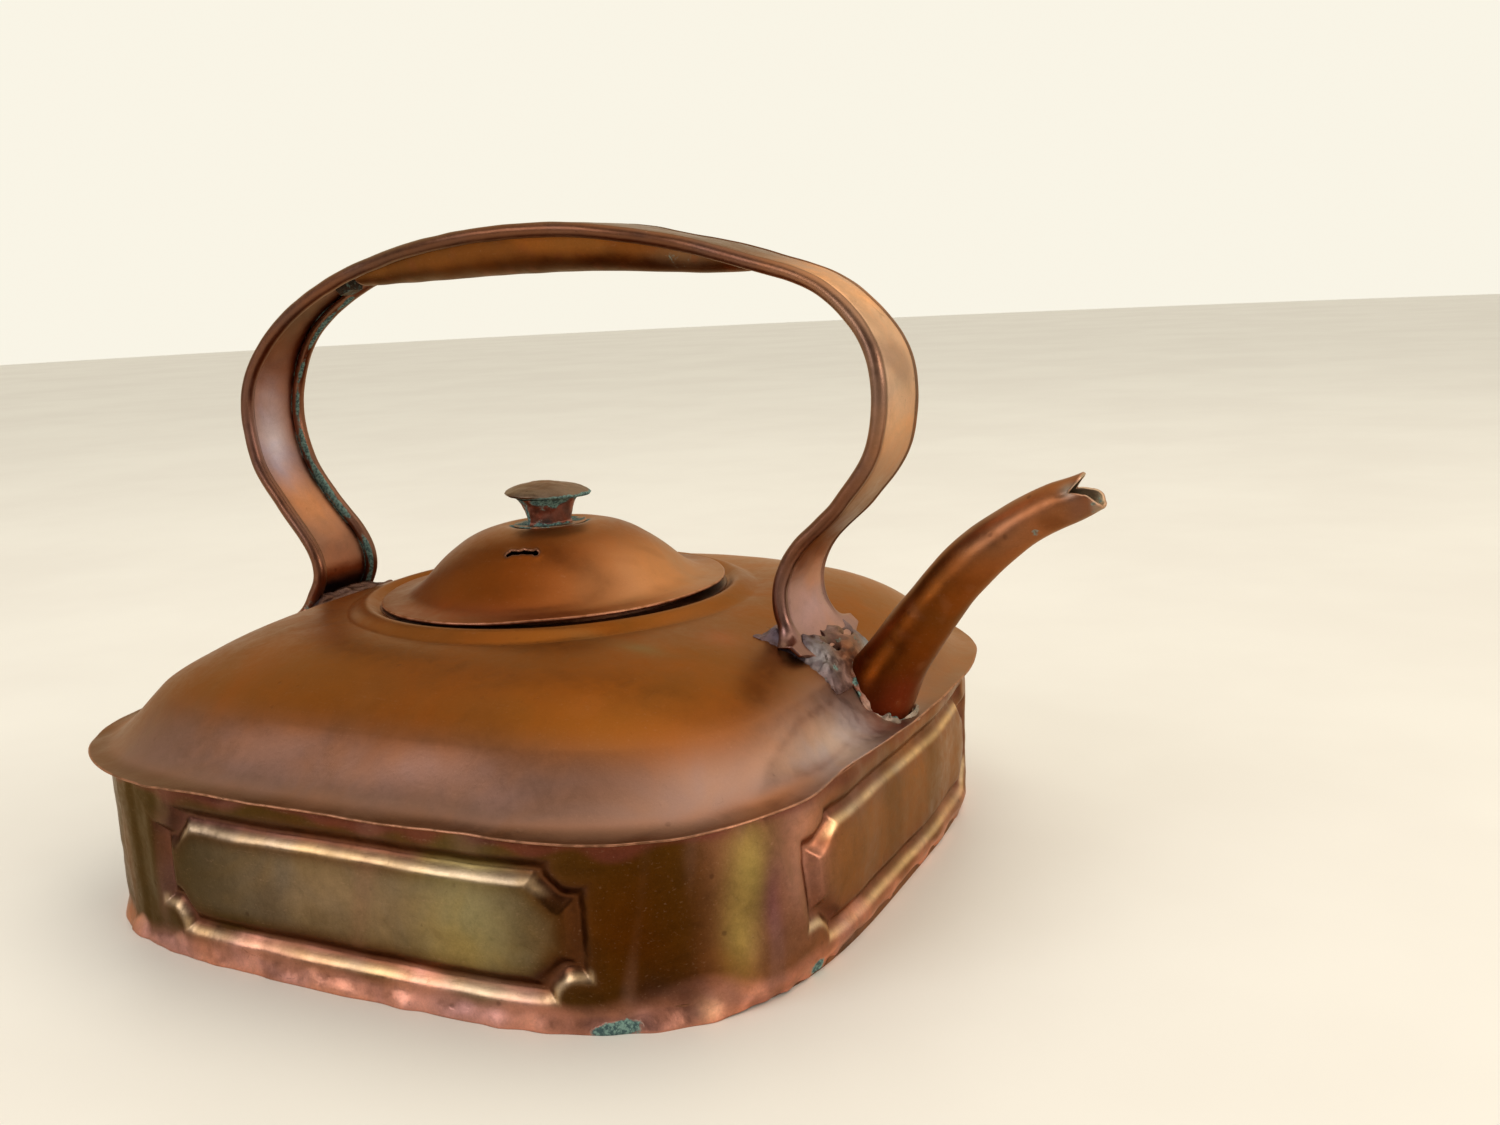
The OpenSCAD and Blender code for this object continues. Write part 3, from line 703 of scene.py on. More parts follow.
def shoulder_z(x, y):
    """Height of the shoulder's outer face at x, y."""
    x, y = np.broadcast_arrays(np.asarray(x, float), np.asarray(y, float))
    low, high = np.zeros(x.shape), np.ones(x.shape)
    for _ in range(26):
        t = (low + high) / 2
        q = shoulder_power(t)
        reach = (np.abs(x) / shoulder_half(t, HALF_L)) ** q + (np.abs(y) / shoulder_half(t, HALF_W)) ** q
        low, high = np.where(reach < 1, t, low), np.where(reach < 1, high, t)
    return shoulder_level((low + high) / 2)


SPOUT_ROUTE = [
    (104, 51), (108, 58), (117.2, 72.8), (126.8, 84.7),
    (136.8, 95.6), (146.8, 103.6), (157.2, 109.7), (167, 114.8),
]
SPOUT_START = unit(np.array([9.0, 0, 15.0]))
SPOUT_BASE_R = 11.5
SPOUT_TIP_R = 5.8
SOFT_RIDGE = [(102.9, -76.8, 50.8), (102.9, -67.8, 55.3), (103.5, -47.5, 60.5), (105, -24, 61)]


def spout_hole(q):
    """Distance outside the hole under the spout."""
    d = q - np.array([SPOUT_ROUTE[1][0], 0, SPOUT_ROUTE[1][1]])
    d = d - (d @ SPOUT_START)[..., None] * SPOUT_START
    return np.linalg.norm(d, axis=-1) - (SPOUT_BASE_R - 3)


def shoulder_relief(p):
    """Dents and unevenness of the shoulder, outwards in mm."""
    out = waves(p, 70, 31) * 0.32 + waves(p, 20, 32) * 0.045 + waves(p, 7, 33) * 0.012
    out += 0.55 * ridge(line_distance(p, SOFT_RIDGE), 3.2)
    out -= 1.5 * blob(p, (112, -42, 55), (10, 22, 9))
    out -= 0.8 * blob(p, (106, -16, 60), (9, 12, 7))
    for at, radius, depth in [
        ((28, -106, 58), 12, -0.5), ((52, -103, 57), 10, 0.5), ((91, -85, 57), 6, 0.3),
        ((97, -73, 59), 5, -0.25), ((-60, -96, 66), 16, -0.5), ((-20, -88, 72), 14, 0.35),
        ((60, 84, 70), 16, -0.7), ((-84, 60, 70), 14, 0.6), ((-90, -60, 66), 13, -0.6),
        ((20, 100, 62), 12, -0.5), ((-104, 20, 60), 12, 0.5), ((76, 66, 74), 26, 1.6),
        ((20, 70, 80), 26, 1.2),
    ]:
        out += blob(p, at, radius) * depth
    return out


def shoulder():
    a = np.arange(1000) * TAU / 1000
    steps = [np.linspace(0, 0.2, 44)[:-1], np.linspace(0.2, 0.84, 90)[:-1], np.linspace(0.84, 1, 46)]
    a, t = a[:, None], np.concatenate(steps)[None, :]
    r = outline_radius(a, shoulder_half(t, HALF_L), shoulder_half(t, HALF_W), shoulder_power(t))
    p = np.empty((*r.shape, 3))
    p[..., 0], p[..., 1] = r * np.cos(a), r * np.sin(a)
    p[..., 2] = shoulder_level(t)
    # the dome runs into the lip in a soft curve
    soft = (smooth((t - 0.02) / 0.05) * (1 - smooth((t - 0.22) / 0.08)) * 0.9)[..., None]
    for _ in range(170):
        p[:, 1:-1] += soft[:, 1:-1] * ((p[:, :-2] + p[:, 2:]) / 2 - p[:, 1:-1])
    n = grid_normals(p, True)
    keep = 1 - smooth((t - 0.86) / 0.1)
    p = p + n * (shoulder_relief(p) * keep * smooth(t / 0.16 + 0.15))[..., None]
    # the lip: wavy, turned up a little, pushed in beside the spout, drooping at the near corner
    lip = 1 - smooth(t / 0.15)
    x, y = p[..., 0], p[..., 1]
    uneven = waves(p, 34, 41) * 0.35 + waves(p, 12, 42) * 0.1
    corner = blob(p, (86, -102, 50), (30, 24, 30))
    p[..., 2] += lip * (0.4 + uneven - 1.5 * corner - 0.5 * smooth(-x / 60))
    push = (3.6 * ridge(y + 47, 15) + 1.2 * ridge(y + 20, 16)) * (x > 0)
    p[..., 0] -= push * (1 - smooth(t / 0.2))
    p[..., 0] += lip * (1.9 * smooth(-x / 90) - 0.8 * smooth(x / 90))
    p[..., 2] = np.where(t < 0.16, np.maximum(p[..., 2], RIM_Z + 0.35 - 1.0 * corner), p[..., 2])

    def on_dome(mask):
        return lambda q: mask(q) * smooth((q[..., 2] - 52) / 6)

    strokes = [
        (patches(60, 51, -0.5, 1.25), (112, 62, 18), 0.5),
        (lambda q: smooth((q[..., 0] + 20) / 120) * smooth((q[..., 2] - 55) / 10), (124, 70, 20), 0.5),
        # painted reflection: a greyish sheen over the lower dome, strongest low on the near side
        (lambda q: smooth((60 - q[..., 2]) / 9) * smooth((q[..., 2] - 50.6) / 2), (112, 76, 54), 0.6),
        (lambda q: smooth((-q[..., 1] - 78) / 24) * smooth((70 - q[..., 2]) / 12), (116, 92, 82), 0.6),
        (lambda q: smooth((51.4 - q[..., 2]) / 1.5), (84, 56, 38), 0.8),
        # painted reflections: pale patches in the hollow by the spout, at the near-right corner and along
        # the soft ridge
        (((112, -34, 55), (12, 34, 11)), (186, 172, 166), 0.9),
        (((92, -78, 55), (16, 18, 7)), (150, 124, 114), 0.6),
        (((104, -50, 58), (6, 16, 6)), (172, 128, 100), 0.5),
        (((108, -70, 50.5), (8, 26, 2.2)), (140, 84, 44), 0.7),
        (((59.5, -50.7, 78), (7, 3, 4)), (100, 86, 54), 0.6),
        (((45, -47.7, 79), (14, 3.5, 4)), (108, 76, 42), 0.5),
        (((66, -24, 80), (10, 16, 5)), (106, 70, 42), 0.5),
        (((74, -30, 79), (6, 6, 4)), (150, 78, 46), 0.5),
        (((88, -14, 73), (10, 18, 8)), (120, 84, 64), 0.5),
        (((-88, 0, 76), (14, 22, 10)), (100, 70, 56), 0.5),
        (on_dome(patches(26, 52, 0.4, 1.2)), (100, 56, 24), 0.16),
        (on_dome(patches(12, 53, 0.7, 1.2)), (136, 82, 40), 0.1),
        (lambda q: smooth((q[..., 1] - 20) / 60), (156, 108, 66), 0.55),
        (lambda q: smooth((q[..., 0] - 92) / 16) * smooth((q[..., 1] - 6) / 16), (130, 90, 62), 0.6),
    ]
    dull = {"dull": lambda q: 0.35 * blob(q, (112, -30, 55), (12, 26, 10))}
    paint = paint_with((107, 59, 20), strokes, dull, inside=(110, 76, 54))
    obj = shell("shoulder_dome", p, SHEET * (1 - 0.35 * lip), paint, hole=spout_hole)
    metal = old_metal("shoulder_copper_worn", streak=0.05, **SMOOTH_COPPER)
    finish_piece(obj, metal, "shoulder")


shoulder()


# ------------------------------------------------------------------ lid
LID_LEAN = math.radians(1.0)
SEAT_Z = RIM_Z + SHEET + DOME_H + 1.3
LID_Z = SEAT_Z + 0.4 + LID_R * math.sin(LID_LEAN)
LID_PROFILE = [
    (1, 18.3), (5, 18.3), (9, 18.4), (11.5, 18.95), (13.5, 19.4), (15.5, 19.35), (18.5, 18.7),
    (22.5, 17.5), (26.5, 15.7), (30, 13.5), (33, 11.4), (35.5, 9.4), (38, 7.1), (40, 5.1),
    (42, 3.3), (44.5, 1.6), (47, 0.7), (50, 0.25), (53, 0), (54, 0),
]
LID_CURVE = catmull(LID_PROFILE, np.linspace(0, len(LID_PROFILE) - 1, 800))
LID_TOP = 18.3


def lid_level(r):
    """Height of the lid's inner face at radius r, above its brim."""
    return np.interp(r, LID_CURVE[:, 0], LID_CURVE[:, 1])


def on_lid(p):
    """From the lid's own axes to the kettle's: it leans as it sits."""
    c, s = math.cos(LID_LEAN), math.sin(LID_LEAN)
    q = p.copy()
    q[..., 0] = p[..., 0] * c - p[..., 2] * s
    q[..., 2] = p[..., 0] * s + p[..., 2] * c + LID_Z
    return q


SLOT_AT = math.radians(-74)
SLOT_R = 28.0


def slot_distance(q):
    """Distance outside the ragged steam slot, for points in the lid's own axes."""
    across = q[..., 0] * math.cos(SLOT_AT) + q[..., 1] * math.sin(SLOT_AT) - SLOT_R
    along = q[..., 1] * math.cos(SLOT_AT) - q[..., 0] * math.sin(SLOT_AT)
    upper = -across - 0.9 - 0.2 * np.sin(along * 1.7 + 1) - 0.1 * np.cos(along * 3.1)
    body = np.maximum(np.maximum(across - 1.0, upper), (np.abs(along) - 4.2) * 0.9)
    ears = np.hypot(across - 0.4, np.abs(along) - 4.2) - 1.05
    return blend(body, ears, 0.5)


def lid():
    a = np.arange(960) * TAU / 960
    r = np.concatenate([np.linspace(LID_R, 20, 130)[:-1], np.linspace(20, 1.9, 70)])
    p = np.empty((len(a), len(r), 3))
    p[..., 0], p[..., 1] = np.outer(np.cos(a), r), np.outer(np.sin(a), r)
    p[..., 2] = lid_level(r) + SHEET
    n = grid_normals(p, True)
    out = waves(p, 36, 61) * 0.14 + waves(p, 11, 62) * 0.02
    for at, radius, depth in [
        ((-36, -18, 8), 7, -0.4), ((22, -30, 8), 8, 0.3), ((38, 10, 4), 7, -0.35),
        ((-10, 34, 12), 9, -0.4),
    ]:
        out += blob(p, at, radius) * depth
    out += 0.25 * ridge(slot_distance(p), 1.2)
    p = p + n * out[..., None]
    edge = smooth((r - 46) / 7)[None, :]
    p[..., 2] += edge * (waves(p, 30, 63) * 0.18 + 0.25 * smooth(p[..., 0] / 50))

    strokes = [
        (patches(34, 64, -0.375, 1.25), (98, 48, 10), 0.5),
        (((40, 4, 6), (18, 40, 14)), (176, 124, 82), 0.75),
        (((0, 0, 21), (17, 17, 3)), (156, 108, 66), 0.8),
        (((8, -46, 1), (50, 8, 3)), (118, 58, 32), 0.6),
        (((-30, -20, 12), (14, 14, 8)), (104, 62, 34), 0.4),
        (patches(11, 65, 0.6, 1.2), (96, 52, 20), 0.15),
        (patches(18, 66, 0.5, 1.2), (132, 76, 34), 0.15),
        (lambda q: ridge(slot_distance(q), 0.5), (60, 36, 24), 0.8),
    ]

    def round_washer(q):
        from_centre = np.hypot(q[:, 0], q[:, 1])
        return 0.75 * ridge(from_centre - 11.4, 1.5) * (0.8 + 0.4 * waves(q, 7, 67))

    paint = paint_with((102, 50, 12), strokes, {"green": round_washer}, inside=(100, 70, 50))
    obj = shell("lid_dome", p, SHEET, paint, hole=slot_distance)
    tilt(obj)
    metal = old_metal("lid_copper_worn", streak=0.06, **SMOOTH_COPPER)
    finish_piece(obj, metal, "lid", "lid")


def tilt(obj):
    """Moves a mesh made in the lid's own axes to its place."""
    co = np.empty(len(obj.data.vertices) * 3, np.float32)
    obj.data.vertices.foreach_get("co", co)
    p = on_lid(co.reshape(-1, 3).astype(float) / MM) * MM
    obj.data.vertices.foreach_set("co", p.astype(np.float32).ravel())
    obj.data.update()


lid()

# ------------------------------------------------------------------ knob
KNOB_Z = LID_TOP + SHEET
WASHER_T = 0.7
STEM_H = 8.4
CAP_LEAN = math.radians(3.4)
CAP_LEAN_AXIS = (-0.44, 0.898, 0)
GAP = 0.02


def raised(profile, z):
    return [(r, h + z) for r, h in profile]


def lean_cap(p, z):
    """The cap sits a little crooked on its stem."""
    turn = Matrix.Rotation(CAP_LEAN, 3, CAP_LEAN_AXIS)
    at = np.array([0, 0, z])
    return (p - at) @ np.array(turn).T + at


def knob_washer(metal):
    z = KNOB_Z + GAP
    profile = [
        (0, 0), (8.5, 0.1), (10.3, 0.55), (11.1, 0.8), (11.3, 1.0),
        (10.9, 1.2), (9.6, 0.95), (8.2, WASHER_T), (0, WASHER_T),
    ]
    paint = paint_with(
        (150, 112, 84),
        [(patches(9, 71, -0.5), (116, 104, 86), 0.8)],
        {"green": lambda q: 0.55 + 0.3 * waves(q, 6, 72) - 0.5 * smooth((q[..., 0] - 3) / 8)},
    )
    obj = lathe("knob_washer_dished", raised(profile, z), paint, 0.22, 73)
    tilt(obj)
    finish_piece(obj, metal, "knob_washer", "lid")


def knob_stem(metal):
    z = KNOB_Z + WASHER_T + 2 * GAP
    profile = [
        (0, 0), (6.9, 0), (7.0, 0.35), (6.6, 0.9), (6.9, 2.4), (7.5, 4.4),
        (8.4, 6.6), (9.3, 7.9), (9.8, STEM_H), (0, STEM_H),
    ]

    def green(q):
        h = q[..., 2] - z
        ends = 0.45 * smooth((h - 6.2) / 1.6) + 0.3 * smooth((1 - h) / 0.8)
        return 0.24 + 0.5 * waves(q, 4.5, 76) + ends + 0.4 * blob(q, (3.5, -6.5, z + 4.5), 2.6)

    strokes = [
        (patches(5, 74, -0.2), (146, 84, 66), 0.7),
        (patches(7, 75, 0.1), (96, 84, 82), 0.7),
    ]
    paint = paint_with((140, 96, 82), strokes, {"green": green})
    obj = lathe("knob_stem_flared", raised(profile, z), paint, 0.16, 77)
    tilt(obj)
    finish_piece(obj, metal, "knob_stem", "lid")


def knob_cap(metal):
    z = KNOB_Z + WASHER_T + STEM_H + 3 * GAP
    profile = [
        (0, 0.3), (9.8, 0.1), (11.4, 0.35), (12.7, 0.7), (13.2, 0.95), (13.4, 1.3), (13.1, 1.65),
        (12.2, 2.2), (10.6, 2.95), (8.4, 3.7), (5.8, 4.3), (3, 4.7), (0, 4.8),
    ]
    strokes = [
        (patches(10, 78, -0.2), (88, 70, 56), 0.7),
        (((0, 0, z + 5), (9, 9, 2)), (102, 72, 52), 0.6),
        (lambda q: smooth((z + 1.2 - q[..., 2]) / 1.0), (88, 84, 76), 0.8),
    ]
    green = {"green": lambda q: 0.8 * smooth((z + 1.9 - q[..., 2]) / 1.2) + 0.12 * waves(q, 6, 79)}
    paint = paint_with((104, 90, 76), strokes, green)
    obj = lathe("knob_cap_mushroom", raised(profile, z), paint, 0.2, 80, move=lambda q: lean_cap(q, z))
    tilt(obj)
    finish_piece(obj, metal, "knob_cap", "lid")


aged = old_metal("knob_aged", gloss=(0.36, 0.6), mottle=0.35, spots=0.5, bump=0.7, streak=0.06)
knob_washer(aged)
knob_stem(aged)
knob_cap(aged)


# ------------------------------------------------------------------ handle
SKEW = math.radians(-1.8)
STRAP_T = 1.0
WIRE_R = 0.9
CURL_R = WIRE_R + STRAP_T / 2 + 0.15
CURL_TURN = math.radians(285)
FOOT_LIFT = 1.8
GRIP_FROM, GRIP_TO, GRIP_D = 0.415, 0.622, 13.0
GRIP_SHEET = 0.8


def skewed(p):
    """From the handle's own axes to the kettle's: it stands a little askew."""
    c, s = math.cos(SKEW), math.sin(SKEW)
    q = p.copy()
    q[..., 0] = c * p[..., 0] - s * p[..., 1]
    q[..., 1] = s * p[..., 0] + c * p[..., 1]
    return q


def shoulder_under(x, y):
    """Height of the shoulder at x, y in the handle's axes."""
    c, s = math.cos(SKEW), math.sin(SKEW)
    return shoulder_z(c * x - s * y, s * x + c * y)


def on_shoulder(x):
    return (x, float(shoulder_under(x, 0.0)) + FOOT_LIFT)


STRAP_ROUTE = [
    on_shoulder(-102), on_shoulder(-97), (-92.3, 76), (-89.2, 83), (-91.9, 91.5), (-103.2, 105),
    (-113, 120.4), (-114.8, 140), (-107.3, 156.8), (-91, 171), (-66, 182), (-36, 188.6),
    (-4, 191.2), (24, 190.7), (50, 186.5), (77, 179.7), (101.6, 169.9), (116.2, 151.3),
    (115.6, 127.6), (104.4, 110.9), (92.1, 99.2), (87, 90), (86.8, 81.6), (90.5, 75),
    on_shoulder(96),
]


def strap_half(z):
    """Half width of the strap at height z: narrow at the arch's corners, wider at the grip."""
    foot, corner, grip = 1 - smooth((z - 75) / 40), smooth((z - 145) / 28), smooth((z - 184.5) / 6.5)
    return (26 + 2 * foot - 5.5 * corner + 9.5 * grip) / 2


def strap_frames(k):
    """Places, outward normals and half widths of the strap at k, from 0 to 1."""
    p, t = along_route(STRAP_ROUTE, k * (len(STRAP_ROUTE) - 1), 0.02)
    return p, np.stack([-t[:, 1], t[:, 0]], 1), strap_half(p[:, 1])


def half_section(half, roll, side):
    """Half of the strap's section as (across, out): flat, a fine furrow, then the rolled edge."""
    full = CURL_TURN
    angle = max(math.radians(3), full * roll)
    rr = CURL_R * full / angle
    flat = np.linspace(0, 1, 16)[:-1] * (half - CURL_R)
    edge = half - CURL_R - flat
    dip = roll * (0.35 * ridge(edge - 0.6, 0.6) + 0.18 * smooth(1 - edge / 6))
    a = np.linspace(0, 1, 20) * angle
    r = rr + side * STRAP_T / 2
    ease = 1 + roll * 0.1 * np.sin(a * 0.6)
    x = np.concatenate([flat, half - CURL_R + r * np.sin(a) * ease])
    y = np.concatenate([side * STRAP_T / 2 - dip, -rr + r * np.cos(a) * ease])
    return np.stack([x, y], 1)


def strap_section(half, roll):
    halves = []
    for side in (-1, 1):
        line = half_section(half, roll, side)
        mirrored = line[:0:-1] * (-1, 1)
        halves.append(np.concatenate([mirrored, line]))
    return np.concatenate([halves[0], halves[1][::-1]])


def sweep(frames, sections):
    """Rings of points: sections of (across, out) set along the handle's frames."""
    place, normal, _ = frames
    rings = np.empty((*sections.shape[:2], 3))
    rings[..., 0] = place[:, 0, None] + normal[:, 0, None] * sections[..., 1]
    rings[..., 1] = sections[..., 0]
    rings[..., 2] = place[:, 1, None] + normal[:, 1, None] * sections[..., 1]
    return rings


def handle_strap():
    k = np.linspace(0, 1, 520)
    frames = strap_frames(k)
    from_end = np.minimum(k, 1 - k)
    roll = smooth((from_end - 0.03) / 0.045)
    half = frames[2] * (1 - 0.42 * smooth((0.016 - from_end) / 0.016))
    sections = np.stack([strap_section(h, r) for h, r in zip(half, roll)])
    rings = sweep(frames, sections)
    sway = waves(np.stack([frames[0][:, 0], 0 * k, frames[0][:, 1]], 1), 60, 81) * 0.4
    rings[..., 1] += (sway * smooth(from_end / 0.1))[:, None]
    lift = waves(rings, 26, 82) * 0.16 + waves(rings, 9, 83) * 0.04
    # the front foot is beaten down unevenly
    lift -= 0.8 * blob(rings, (92, -8, 74), (8, 5, 6)) - 0.5 * blob(rings, (88, 6, 80), (6, 6, 6))
    rings[..., 0] += frames[1][:, 0, None] * lift
    rings[..., 2] += frames[1][:, 1, None] * lift

    def across(q):
        return q[:, 1] * math.cos(SKEW) - q[:, 0] * math.sin(SKEW)

    def curl(q):
        """1 on the rolled edges."""
        edge = np.abs(across(q)) - strap_half(q[:, 2])
        return smooth((edge + 2.9) / 0.8) * smooth((q[:, 2] - 72) / 8)

    def green(q):
        """Verdigris in the crack beside the far rolled edge, and at the rear foot."""
        crack = ridge(across(q) - strap_half(q[:, 2]) + 2.7, 0.6) * smooth((-q[:, 0] - 76) / 6)
        crack = crack * smooth((140 - np.abs(q[:, 2] - 130)) / 60) * (0.75 + 0.35 * waves(q, 12, 86))
        return 1.5 * crack + 0.5 * blob(q, (-92, -11, 72), (5, 4, 5))

    strokes = [
        (((-112, 0, 125), (22, 40, 34)), (122, 86, 70), 0.8),
        (((-101, 4, 106), (10, 9, 12)), (166, 114, 76), 0.8),
        # painted reflection: a bluish-white patch on the outer curve of the rear arch
        (((-109, 2, 130), (9, 7, 12)), (190, 190, 206), 0.9),
        (((-92, 0, 165), (16, 30, 16)), (74, 50, 31), 0.75),
        (((-84, 0, 84), (12, 20, 5)), (154, 98, 66), 0.6),
        (((-91, 0, 77), (7, 11, 2.2)), (56, 46, 58), 0.95),
        (((-95, 0, 72), (9, 18, 3.5)), (96, 60, 46), 0.8),
        (((106, 4, 158), (22, 40, 34)), (216, 168, 124), 0.9),
        (((113, -8, 140), (10, 14, 14)), (204, 174, 144), 0.6),
        (((100, 0, 108), (16, 30, 16)), (88, 56, 36), 0.8),
        (((90, 0, 82), (14, 30, 12)), (166, 128, 116), 0.9),
        (((94, 0, 70), (8, 20, 4)), (150, 116, 102), 0.7),
        (lambda q: smooth((q[:, 2] - 174) / 8), (70, 50, 34), 0.85),
        (patches(18, 84, 0.3, 1.2), (104, 66, 52), 0.4),
        (patches(14, 85, 0.3, 1.6, (0.4, 1, 1)), (140, 96, 70), 0.16),
        (curl, (90, 60, 44), 0.75),
    ]
    paint = paint_with((120, 80, 56), strokes, {"green": green})
    obj = loft("handle_strap_rolled", skewed(rings), paint)
    metal = old_metal("handle_copper_worn", gloss=(0.3, 0.42), mottle=0.16, bump=0.35)
    finish_piece(obj, metal, "handle_strap")
    return metal


def handle_wires(metal):
    k = np.linspace(0.11, 0.89, 260)
    frames = strap_frames(k)
    a = np.arange(14) * TAU / 14
    paint = paint_with((86, 58, 44), [(patches(12, 90), (120, 80, 54), 0.6)])
    for name, sign in (("near", -1), ("far", 1)):
        ring = np.stack([np.cos(a), np.sin(a)], 1) * WIRE_R
        sections = np.tile(ring, (len(k), 1, 1))
        sections[..., 0] += (sign * (frames[2] - CURL_R))[:, None]
        sections[..., 1] -= CURL_R
        rings = skewed(sweep(frames, sections))
        obj = rod(f"handle_wire_{name}_rod", rings, paint)
        finish_piece(obj, metal, f"handle_wire_{name}")


def handle_grip():
    s = np.linspace(0, 1, 150)
    frames = strap_frames(mix(GRIP_FROM, GRIP_TO, s))
    swell = np.sin(math.pi * mix(0.06, 0.94, s)) ** 0.6
    half = mix(5, frames[2] - 2 * CURL_R - 0.6, swell)
    deep = GRIP_D * swell
    a = np.linspace(0, math.pi, 60)
    sections = np.empty((len(s), len(a), 2))
    sections[..., 0] = half[:, None] * np.cos(a)
    sections[..., 1] = -STRAP_T / 2 - 0.05 - deep[:, None] * np.sin(a) ** 0.8
    p = skewed(sweep(frames, sections))
    n = grid_normals(p, False)
    p = p + n * (waves(p, 34, 91) * 0.25 + waves(p, 12, 92) * 0.06)[..., None]
    strokes = [
        (patches(22, 93, -0.3), (126, 76, 30), 0.6),
        (lambda q: smooth((182.5 - q[:, 2]) / 5), (66, 38, 14), 0.8),
        (((56, 0, 180), (9, 14, 6)), (96, 84, 66), 0.7),
        (patches(8, 94, 0.5), (110, 62, 34), 0.4),
    ]

    def green(q):
        return 0.5 * blob(q, (54, -4, 180), (8, 9, 5)) + 0.3 * blob(q, (-58, 0, 181), (8, 9, 5))

    paint = paint_with((102, 62, 26), strokes, {"green": green}, inside=(70, 48, 34))
    obj = shell("handle_grip_hollow", p, GRIP_SHEET, paint, wrap=False)
    metal = old_metal("grip_copper_worn", gloss=(0.38, 0.5), mottle=0.18)
    finish_piece(obj, metal, "handle_grip")


strap_metal = handle_strap()
handle_wires(strap_metal)
handle_grip()


# ------------------------------------------------------------------ solder
def lump(name, top, under, paint):
    """A closed lump of solder: top and under are grids of points over the same places."""
    nu, nv = top.shape[:2]
    p = np.concatenate([top.reshape(-1, 3), under.reshape(-1, 3)])
    count = nu * nv
    quads = grid_quads(nu, nv, False)
    a, b = open_edges(quads, count)
    walls = np.stack([b, a, a + count, b + count], 1)
    faces = np.concatenate([quads, quads[:, ::-1] + count, walls])
    return make_mesh(name, p, [faces], paint(p, np.zeros(len(p))))


def foot_solder(end, x0, x1, half, height, paint, metal):
    """Solder round a foot of the handle. height gives its thickness over handle axes x, y."""
    x, y = np.meshgrid(np.linspace(x0, x1, 150), np.linspace(-half, half, 210), indexing="ij")
    z = shoulder_under(x, y)
    ragged = np.stack([x, y, z], -1)
    h = height(x, y) + waves(ragged, 7, 101) * 0.3 + waves(ragged, 3, 102) * 0.16
    outline = np.minimum(np.minimum(x - x0, x1 - x), half - np.abs(y)) * 0.8
    outline += waves(ragged, 8, 103) * 0.8 + waves(ragged, 3.5, 104) * 0.4
    h = np.minimum(h, outline - 0.6)
    relief = shoulder_relief(skewed(ragged))
    top = skewed(np.stack([x, y, z + relief + np.maximum(h, -0.45)], -1))
    under = skewed(np.stack([x, y, z + relief - 0.8], -1))
    obj = lump(f"handle_solder_{end}_mound", top, under, paint)
    finish_piece(obj, metal, f"handle_solder_{end}")


def rear_solder(metal):
    strokes = [
        (lambda q: smooth(waves(q, 7, 111) + 0.2 - (q[:, 0] + 94) / 6), (94, 92, 94), 0.8),
        (((-101, -12, 70), (6, 8, 6)), (106, 108, 114), 0.85),
        (patches(4, 112), (78, 58, 52), 0.5),
    ]

    def green(q):
        return 0.2 + 0.3 * waves(q, 5, 113) - 0.4 * smooth((q[:, 0] + 97) / 5)

    def height(x, y):
        mound = 2.9 * smooth((x + 100) / 6) * smooth((-83 - x) / 6) * smooth((15 - np.abs(y)) / 4)
        return 0.9 + mound + 1.6 * np.exp(-(((x + 101) / 4) ** 2 + ((y + 11) / 6) ** 2))

    paint = paint_with((100, 74, 60), strokes, {"green": green})
    foot_solder("rear", -107, -82, 18, height, paint, metal)


def front_solder(metal):
    strokes = [
        (patches(6, 114, -0.1), (122, 100, 92), 0.7),
        (((86, -16, 74), (7, 6, 8)), (84, 76, 84), 0.8),
        (((95, -15, 68), (6, 5, 6)), (140, 136, 128), 0.8),
        (((99, 0, 67), (4, 9, 6)), (140, 92, 60), 0.7),
        (((100, 10, 66), (5, 5, 5)), (134, 136, 130), 0.8),
        (patches(3.5, 115, 0.2), (74, 58, 56), 0.6),
        # painted shade: near-black in the hole and the gash in the front solder
        (((96.5, -5.5, 70), (2, 2.2, 3)), (34, 24, 22), 0.95),
        (((95.5, 6, 70), (1.4, 2.6, 3)), (36, 26, 24), 0.95),
    ]
    paint = paint_with((104, 82, 75), strokes, {"green": lambda q: 0.1 + 0.25 * waves(q, 5, 116)})

    def height(x, y):
        ragged = waves(np.stack([x, y, 0 * x], -1), 9, 117) * 1.3
        beside = np.abs(y)
        sides = 2.5 * ridge(beside - 13.4, 3.0) * smooth((x - 80) / 3) * smooth((103 - x) / 4)
        cover = smooth((x - 90.4 - 1.4 * ragged) / 1.6) * smooth((103 - x) / 5.5)
        cover = 3.7 * cover * smooth((17 - beside) / 4)
        hole = 3.2 * np.exp(-(((x - 96.6) / 1.5) ** 2 + ((y + 3.0) / 1.9) ** 2))
        gash = 3.0 * np.exp(-(((x - 95.6) / 1.0) ** 2 + ((y - 8.6) / 2.4) ** 2))
        return 0.5 + np.maximum(sides, cover) - hole - gash

    foot_solder("front", 79, 104, 18.5, height, paint, metal)


solder_metal = old_metal(
    "solder_tarnished", gloss=(0.4, 0.7), mottle=0.45, spots=0.5, bump=1.0, streak=0.05
)
rear_solder(solder_metal)
front_solder(solder_metal)


# ------------------------------------------------------------------ spout
# how far the mouth's edge reaches past the route's end, by height across the mouth
MOUTH = [
    (-1, 1.2), (-0.72, 1.2), (-0.45, 0.95), (-0.15, 0.1), (0.06, -1.2), (0.22, -2.4),
    (0.36, -3.8), (0.42, -4.2), (0.5, -3.7), (0.68, -2.0), (0.82, -0.6), (0.92, 0.1), (1, 0.4),
]


